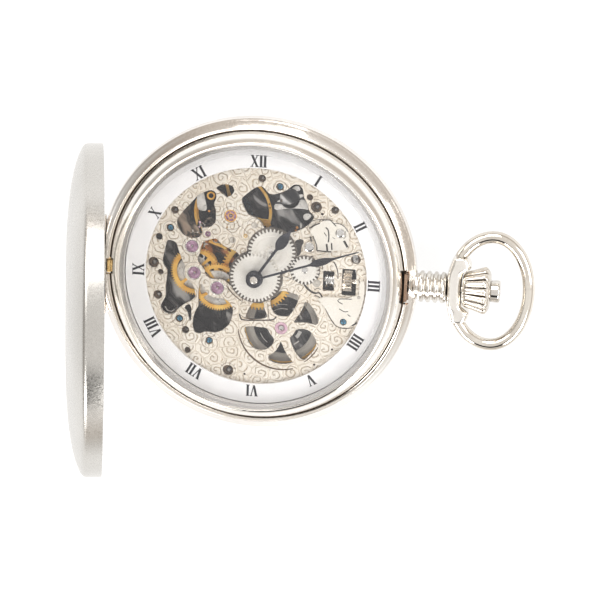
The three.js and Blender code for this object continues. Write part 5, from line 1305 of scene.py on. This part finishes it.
# centre window: amber depths, gilt arcs
streak(gd_, [(-7.6, 3.4), (-7.0, 3.1), (-6.5, 2.5), (-6.2, 1.7)], 0.42, -2.3)
streak(gd_, [(-7.5, 5.1), (-6.8, 4.85), (-6.0, 4.6), (-5.2, 4.3), (-4.7, 3.9)], 0.34, -1.5)
streak(lg_, [(-8.6, 3.2), (-8.2, 2.6), (-8.4, 2.0), (-8.0, 1.4)], 0.22, -1.9)
bk = G()
bk.add(plate(chaikin(back([(-9.6, 5.8), (-5.6, 6.2), (-1.9, 4.2), (-1.9, -2.6), (-5.6, -2.2), (-8.4, -0.9), (-9.9, 1.8)], -3.6), 1), (), -3.66, -3.6, 0.02, 2))
make("amber_ground", bk, AMBD, "case", (), 35)
bk = G()
bk.add(plate(chaikin(back([(-13.2, 8.6), (-10.8, 12.9), (-3.4, 15.0), (-3.2, 12.0), (-6.0, 10.2), (-6.0, 7.2), (-11.6, 5.0)], -3.3), 1), (), -3.36, -3.3, 0.02, 2))
make("brown_ground", bk, BROWND, "case", (), 35)
rg = G()
for q_, r_ in (((-6.4, 5.35), 0.28), ((-8.35, 3.6), 0.2), ((6.15, 8.25), 0.22), ((6.0, 7.75), 0.2), ((-7.6, 9.9), 0.18)):
    rg.add(disc(r_, -1.5, -1.42, *back([q_], -1.42)[0], 20, 0.03))
make("copper_glints", rg, metal("copper_glint", (0.62, 0.24, 0.06), (0.90, 0.48, 0.16), (0.3, 0.4), metallic=0.5), "case", (), 40)
# top window: index arm, its dark spring line and the cock's foot
under(lg_, [(2.55, 10.75), (2.5, 11.72), (3.2, 11.8), (4.5, 11.75), (5.6, 12.1), (6.95, 12.9), (7.8, 12.0), (8.0, 11.15), (6.8, 11.3), (5.0, 11.2), (3.8, 11.0)], -1.10, 0.06, 1)
under(lg_, [(2.7, 12.05), (3.4, 12.5), (4.1, 12.9), (5.3, 13.2), (7.0, 13.65), (7.0, 13.2), (5.6, 12.6), (4.4, 12.2)], -1.12, 0.06, 1)
under(lg_, [(4.9, 14.1), (5.6, 14.8), (6.2, 14.9), (6.6, 14.2), (5.8, 13.9)], -1.3)
under(lg_, [(6.9, 10.2), (7.6, 10.7), (8.4, 10.4), (8.0, 9.7), (7.3, 9.4)], -1.2)
under(lg_, [(6.55, 9.1), (6.9, 8.9), (6.9, 8.2), (6.6, 8.1)], -1.3)
streak(am_, [(3.6, 12.1), (3.65, 12.6)], 0.22, -1.05)
under(gd_, [(0.9, 8.1), (0.8, 8.6), (1.4, 8.85), (2.0, 8.7), (2.2, 8.2)], -2.3)
make("interior_bright", lg_, GREYL, "case", (), 35)
make("interior_amber_parts", am_, BROWND, "case", (), 35)
make("interior_gilt", gd_, GOLD_B, "case", (), 35)
dk_ = G()
streak(dk_, [(2.7, 11.92), (4.3, 11.98), (5.6, 12.35), (6.9, 13.05)], 0.20, -1.04)
streak(dk_, [(5.7, 15.05), (6.4, 14.95), (6.85, 14.2)], 0.14, -1.0)
make("index_spring_line", dk_, DARKS, "case", (), 35)

# ------------------------------------------------------------------- bridges
bb = [(-2.6, -2.0), (-1.8, 2.4), (2.2, 3.4), (8.2, 4.4), (12.2, 2.6), (12.4, -2.6), (15.8, -3.0), (16.6, -6.8), (14.0, -11.2), (10.0, -14.8), (4.5, -17.2), (-1.0, -16.6), (-4.4, -13.6), (-5.2, -8.4), (-4.6, -4.6)]
g = G().add(plate(chaikin(bb, 2), [circle(0.50, 24, *BARREL), circle(0.42, 20), circle(0.45, 20, *CROWNW)], -3.96, -3.46, 0.06))
for x, y, r in ((13.9, -6.6, 0.8), (-3.6, -11.7, 0.45), (8.9, 3.7, 0.45)):
    g.add(disc(r, -3.5, -1.10, x, y, 28))
make("barrel_bridge_plate", g, DARKS, "case", ("barrel_bridge",), 35)
tb = [(-3.4, -1.0), (-3.2, 0.8), (-6.8, 2.6), (-9.0, 4.6), (-8.7, 6.6), (-9.6, 6.9), (-11.4, 6.0), (-14.6, 6.4), (-16.0, 3.0), (-16.2, -2.0), (-14.4, -7.2), (-11.0, -9.0), (-6.0, -8.0), (-5.4, -4.6)]
g = G().add(plate(chaikin(tb, 2), [circle(0.17, 14, *THIRD), circle(0.17, 14, *FOURTH), circle(0.17, 14, *ESCAPE)], -4.70, -4.05, 0.06))
for x, y, r in ((-15.1, 4.9, 0.7), (-12.6, -7.6, 0.8)):
    g.add(disc(r, -4.1, -1.10, x, y, 28))
make("train_bridge_plate", g, DARKS, "case", ("train_bridge",), 35)
pb_ = [(-8.7, 6.9), (-8.1, 5.6), (-6.6, 4.2), (-5.4, 4.3), (-5.5, 5.6), (-7.4, 7.5)]
g = G().add(plate(chaikin(pb_, 2, 0.2), [circle(0.17, 14, *PALLET)], -3.15, -2.90, 0.04)).add(disc(0.20, -2.95, -1.10, -6.1, 5.05, 20))
make("pallet_bridge_plate", g, GREYS, "case", ("pallet_bridge",), 35)
bc = [(-5.4, 8.6), (-4.2, 8.1), (-3.0, 8.6), (0.5, 10.0), (5.2, 10.6), (7.6, 12.4), (6.6, 14.4), (3.0, 15.6), (-0.4, 13.2), (-3.2, 10.6), (-4.4, 10.7), (-5.4, 10.2)]
g = G().add(plate(chaikin(bc, 2, 0.2), [circle(0.17, 14, *BALANCE)], -4.85, -4.25, 0.06)).add(disc(1.6, -4.3, -1.10, 4.8, 12.6, 40))
make("balance_cock_arm", g, DARKS, "case", ("balance_cock",), 35)
# deep floor of the movement: a flat disc under the windows in painted shade with painted reflection streaks
fl = G()
fl.add(lathe(fillet([(0, -5.05), (18.2, -5.05), (18.2, -4.90), (0, -4.90)], 0.02, 2, closed=False), 90, closed=False))
make("movement_floor", fl, DARKS, "case", (), 35)

# --------------------------------------------------- winding wheels and click
mR = 2 * math.dist(BARREL, CROWNW) / (44 + 20)
aBW = ang(BARREL, CROWNW)
make("ratchet_wheel_cut", G().add(plate(gear(44, mR * 22, mR, aBW, *BARREL, 0.5), [circle(0.46, 24, *BARREL)], -4.32, -4.04, 0.04)), NICK_R, "barrel_arbor", ("ratchet_wheel",), 35)
g = G().add(plate(gear(20, mR * 10, mR, aBW + PI + PI / 20, *CROWNW, 0.5), [circle(0.1, 12, *CROWNW)], -4.32, -4.04, 0.04)).add(disc(0.38, -4.1, -3.3, *CROWNW, 24, 0.04))
make("crown_wheel_cut", g, NICK_W, "crown_wheel", ("crown_wheel",), 35)
ck = [(-3.55, -14.2), (-3.0, -13.3), (-1.75, -12.55), (-1.95, -12.2), (-3.6, -12.7), (-4.3, -13.9)]
make("click_pawl", G().add(plate(chaikin(ck, 1, 0.15), [circle(0.2, 14, -3.6, -13.7)], -4.32, -4.04, 0.04)), STEEL, "click", ("click",), 35)

# --------------------------------------------------------------------- stage
fm, fnt, fbs = new_mat("floor_pale")
fv = coords(fnt, (20, 20, 20))
fnt.links.new(ramp(fnt, noise(fnt, fv, 1.0, 3.0), [(0.3, (0.22, 0.22, 0.22)), (0.7, (0.24, 0.24, 0.24))]), fbs.inputs["Base Color"])
fbs.inputs["Emission Color"].default_value = (1.0, 1.0, 1.0, 1)
fbs.inputs["Emission Strength"].default_value = 0.74
fbs.inputs["Roughness"].default_value = 0.9
fbs.inputs["Specular IOR Level"].default_value = 0.1
fme = bpy.data.meshes.new("floor")
S = 1.6
fme.from_pydata([(-S, -S, -0.0002), (S, -S, -0.0002), (S, S, -0.0002), (-S, S, -0.0002)], [], [(0, 1, 2, 3)])
fme.materials.append(fm)
floor = bpy.data.objects.new("floor", fme)
bpy.context.scene.collection.objects.link(floor)


def area(name, loc, target, size, energy, col=(1, 1, 1), size_y=None):
    L = bpy.data.lights.new(name, "AREA")
    L.shape = "RECTANGLE"; L.size = size; L.size_y = size_y or size
    L.energy = energy; L.color = col
    o = bpy.data.objects.new(name, L)
    o.location = loc
    o.rotation_euler = (Vector(target) - Vector(loc)).to_track_quat("-Z", "Y").to_euler()
    bpy.context.scene.collection.objects.link(o)
    return o


area("key_below_left", (-0.42, -0.62, 0.60), (0, 0, 0), 0.42, 3.4, (1.0, 0.99, 0.97))
area("key_below_right", (0.46, -0.62, 0.60), (0, 0, 0), 0.42, 3.9, (1.0, 0.99, 0.97))
area("fill_left", (-0.50, 0.45, 0.62), (0, 0, 0), 0.50, 1.7, (1.0, 0.985, 0.96))
area("fill_right", (0.72, 0.1, 0.55), (0, 0, 0), 0.50, 2.4, (1.0, 0.985, 0.96))
area("fill_above", (-0.05, 0.72, 0.55), (0, 0, 0), 0.50, 2.4, (1.0, 0.99, 0.98))

w = bpy.data.worlds.new("studio")
bpy.context.scene.world = w
w.use_nodes = True
wn = w.node_tree
bgn = wn.nodes["Background"]
tc = wn.nodes.new("ShaderNodeTexCoord")
sp = wn.nodes.new("ShaderNodeSeparateXYZ")
wn.links.new(tc.outputs["Generated"], sp.inputs[0])
def world_ramp(src, stops):
    r = wn.nodes.new("ShaderNodeValToRGB")
    r.color_ramp.interpolation = "EASE"
    el = r.color_ramp.elements
    el[0].position, el[0].color = stops[0][0], (*stops[0][1], 1)
    el[1].position, el[1].color = stops[-1][0], (*stops[-1][1], 1)
    for p, c in stops[1:-1]:
        e = el.new(p); e.color = (*c, 1)
    wn.links.new(src, r.inputs[0])
    return r.outputs[0]


sky = world_ramp(sp.outputs[2], [(0.0, (0.90, 0.89, 0.88)), (0.08, (0.86, 0.84, 0.81)), (0.22, (0.62, 0.56, 0.50)), (0.34, (0.66, 0.61, 0.56)), (0.46, (0.94, 0.91, 0.88)),
                                 (0.70, (1.0, 0.985, 0.965)), (0.88, (0.98, 0.965, 0.945)), (1.0, (0.95, 0.93, 0.91))])


def ranged(src, a, b, c, d):
    m_ = wn.nodes.new("ShaderNodeMapRange")
    m_.interpolation_type = "SMOOTHSTEP"
    for k, x in zip(("From Min", "From Max", "To Min", "To Max"), (a, b, c, d)):
        m_.inputs[k].default_value = x
    wn.links.new(src, m_.inputs["Value"])
    return m_.outputs["Result"]


def wmath(op, a, b):
    n_ = wn.nodes.new("ShaderNodeMath"); n_.operation = op
    for i_, x in enumerate((a, b)):
        if isinstance(x, (int, float)):
            n_.inputs[i_].default_value = x
        else:
            wn.links.new(x, n_.inputs[i_])
    return n_.outputs[0]


side = ranged(sp.outputs[0], -0.98, -0.45, 0.66, 1.0)
# dark gap between the two lower softboxes: thin dark lines along polished tubes
gx = wmath("ABSOLUTE", wmath("ADD", sp.outputs[0], 0.13), 0.0)
gy = wmath("ABSOLUTE", wmath("ADD", sp.outputs[1], 0.60), 0.0)
gap = wmath("MULTIPLY", ranged(gx, 0.50, 0.62, 1.0, 0.0), ranged(gy, 0.14, 0.20, 1.0, 0.0))
gap = wmath("MULTIPLY", gap, ranged(sp.outputs[2], 0.30, 0.40, 0.0, 1.0))
lit = wmath("MULTIPLY", side, wmath("SUBTRACT", 1.0, wmath("MULTIPLY", gap, 0.96)))
mulc = wn.nodes.new("ShaderNodeVectorMath"); mulc.operation = "SCALE"
wn.links.new(sky, mulc.inputs[0]); wn.links.new(lit, mulc.inputs["Scale"])
wn.links.new(mulc.outputs[0], bgn.inputs[0])
bgn.inputs[1].default_value = 1.0

# -------------------------------------------------------------------- camera
cam = bpy.data.cameras.new("camera")
cam.sensor_width = 36.0
cam.lens = 134.30149
cam.clip_start, cam.clip_end = 0.01, 5.0
co = bpy.data.objects.new("camera", cam)
CAM_POS = (0.050832, 0.095889, 0.336110)
CAM_R = ((0.9892144, -0.0736548, 0.1266092), (0.0346319, 0.9574760, 0.2864269), (-0.1423220, -0.2789529, 0.9496998))
R3 = Matrix(CAM_R)
co.matrix_world = Matrix.Translation(Vector(CAM_POS)) @ R3.to_4x4()
bpy.context.scene.collection.objects.link(co)
bpy.context.scene.camera = co
bpy.context.scene.view_settings.view_transform = "Standard"
bpy.context.scene.view_settings.gamma = 0.86
bpy.context.scene.view_settings.exposure = 0.07
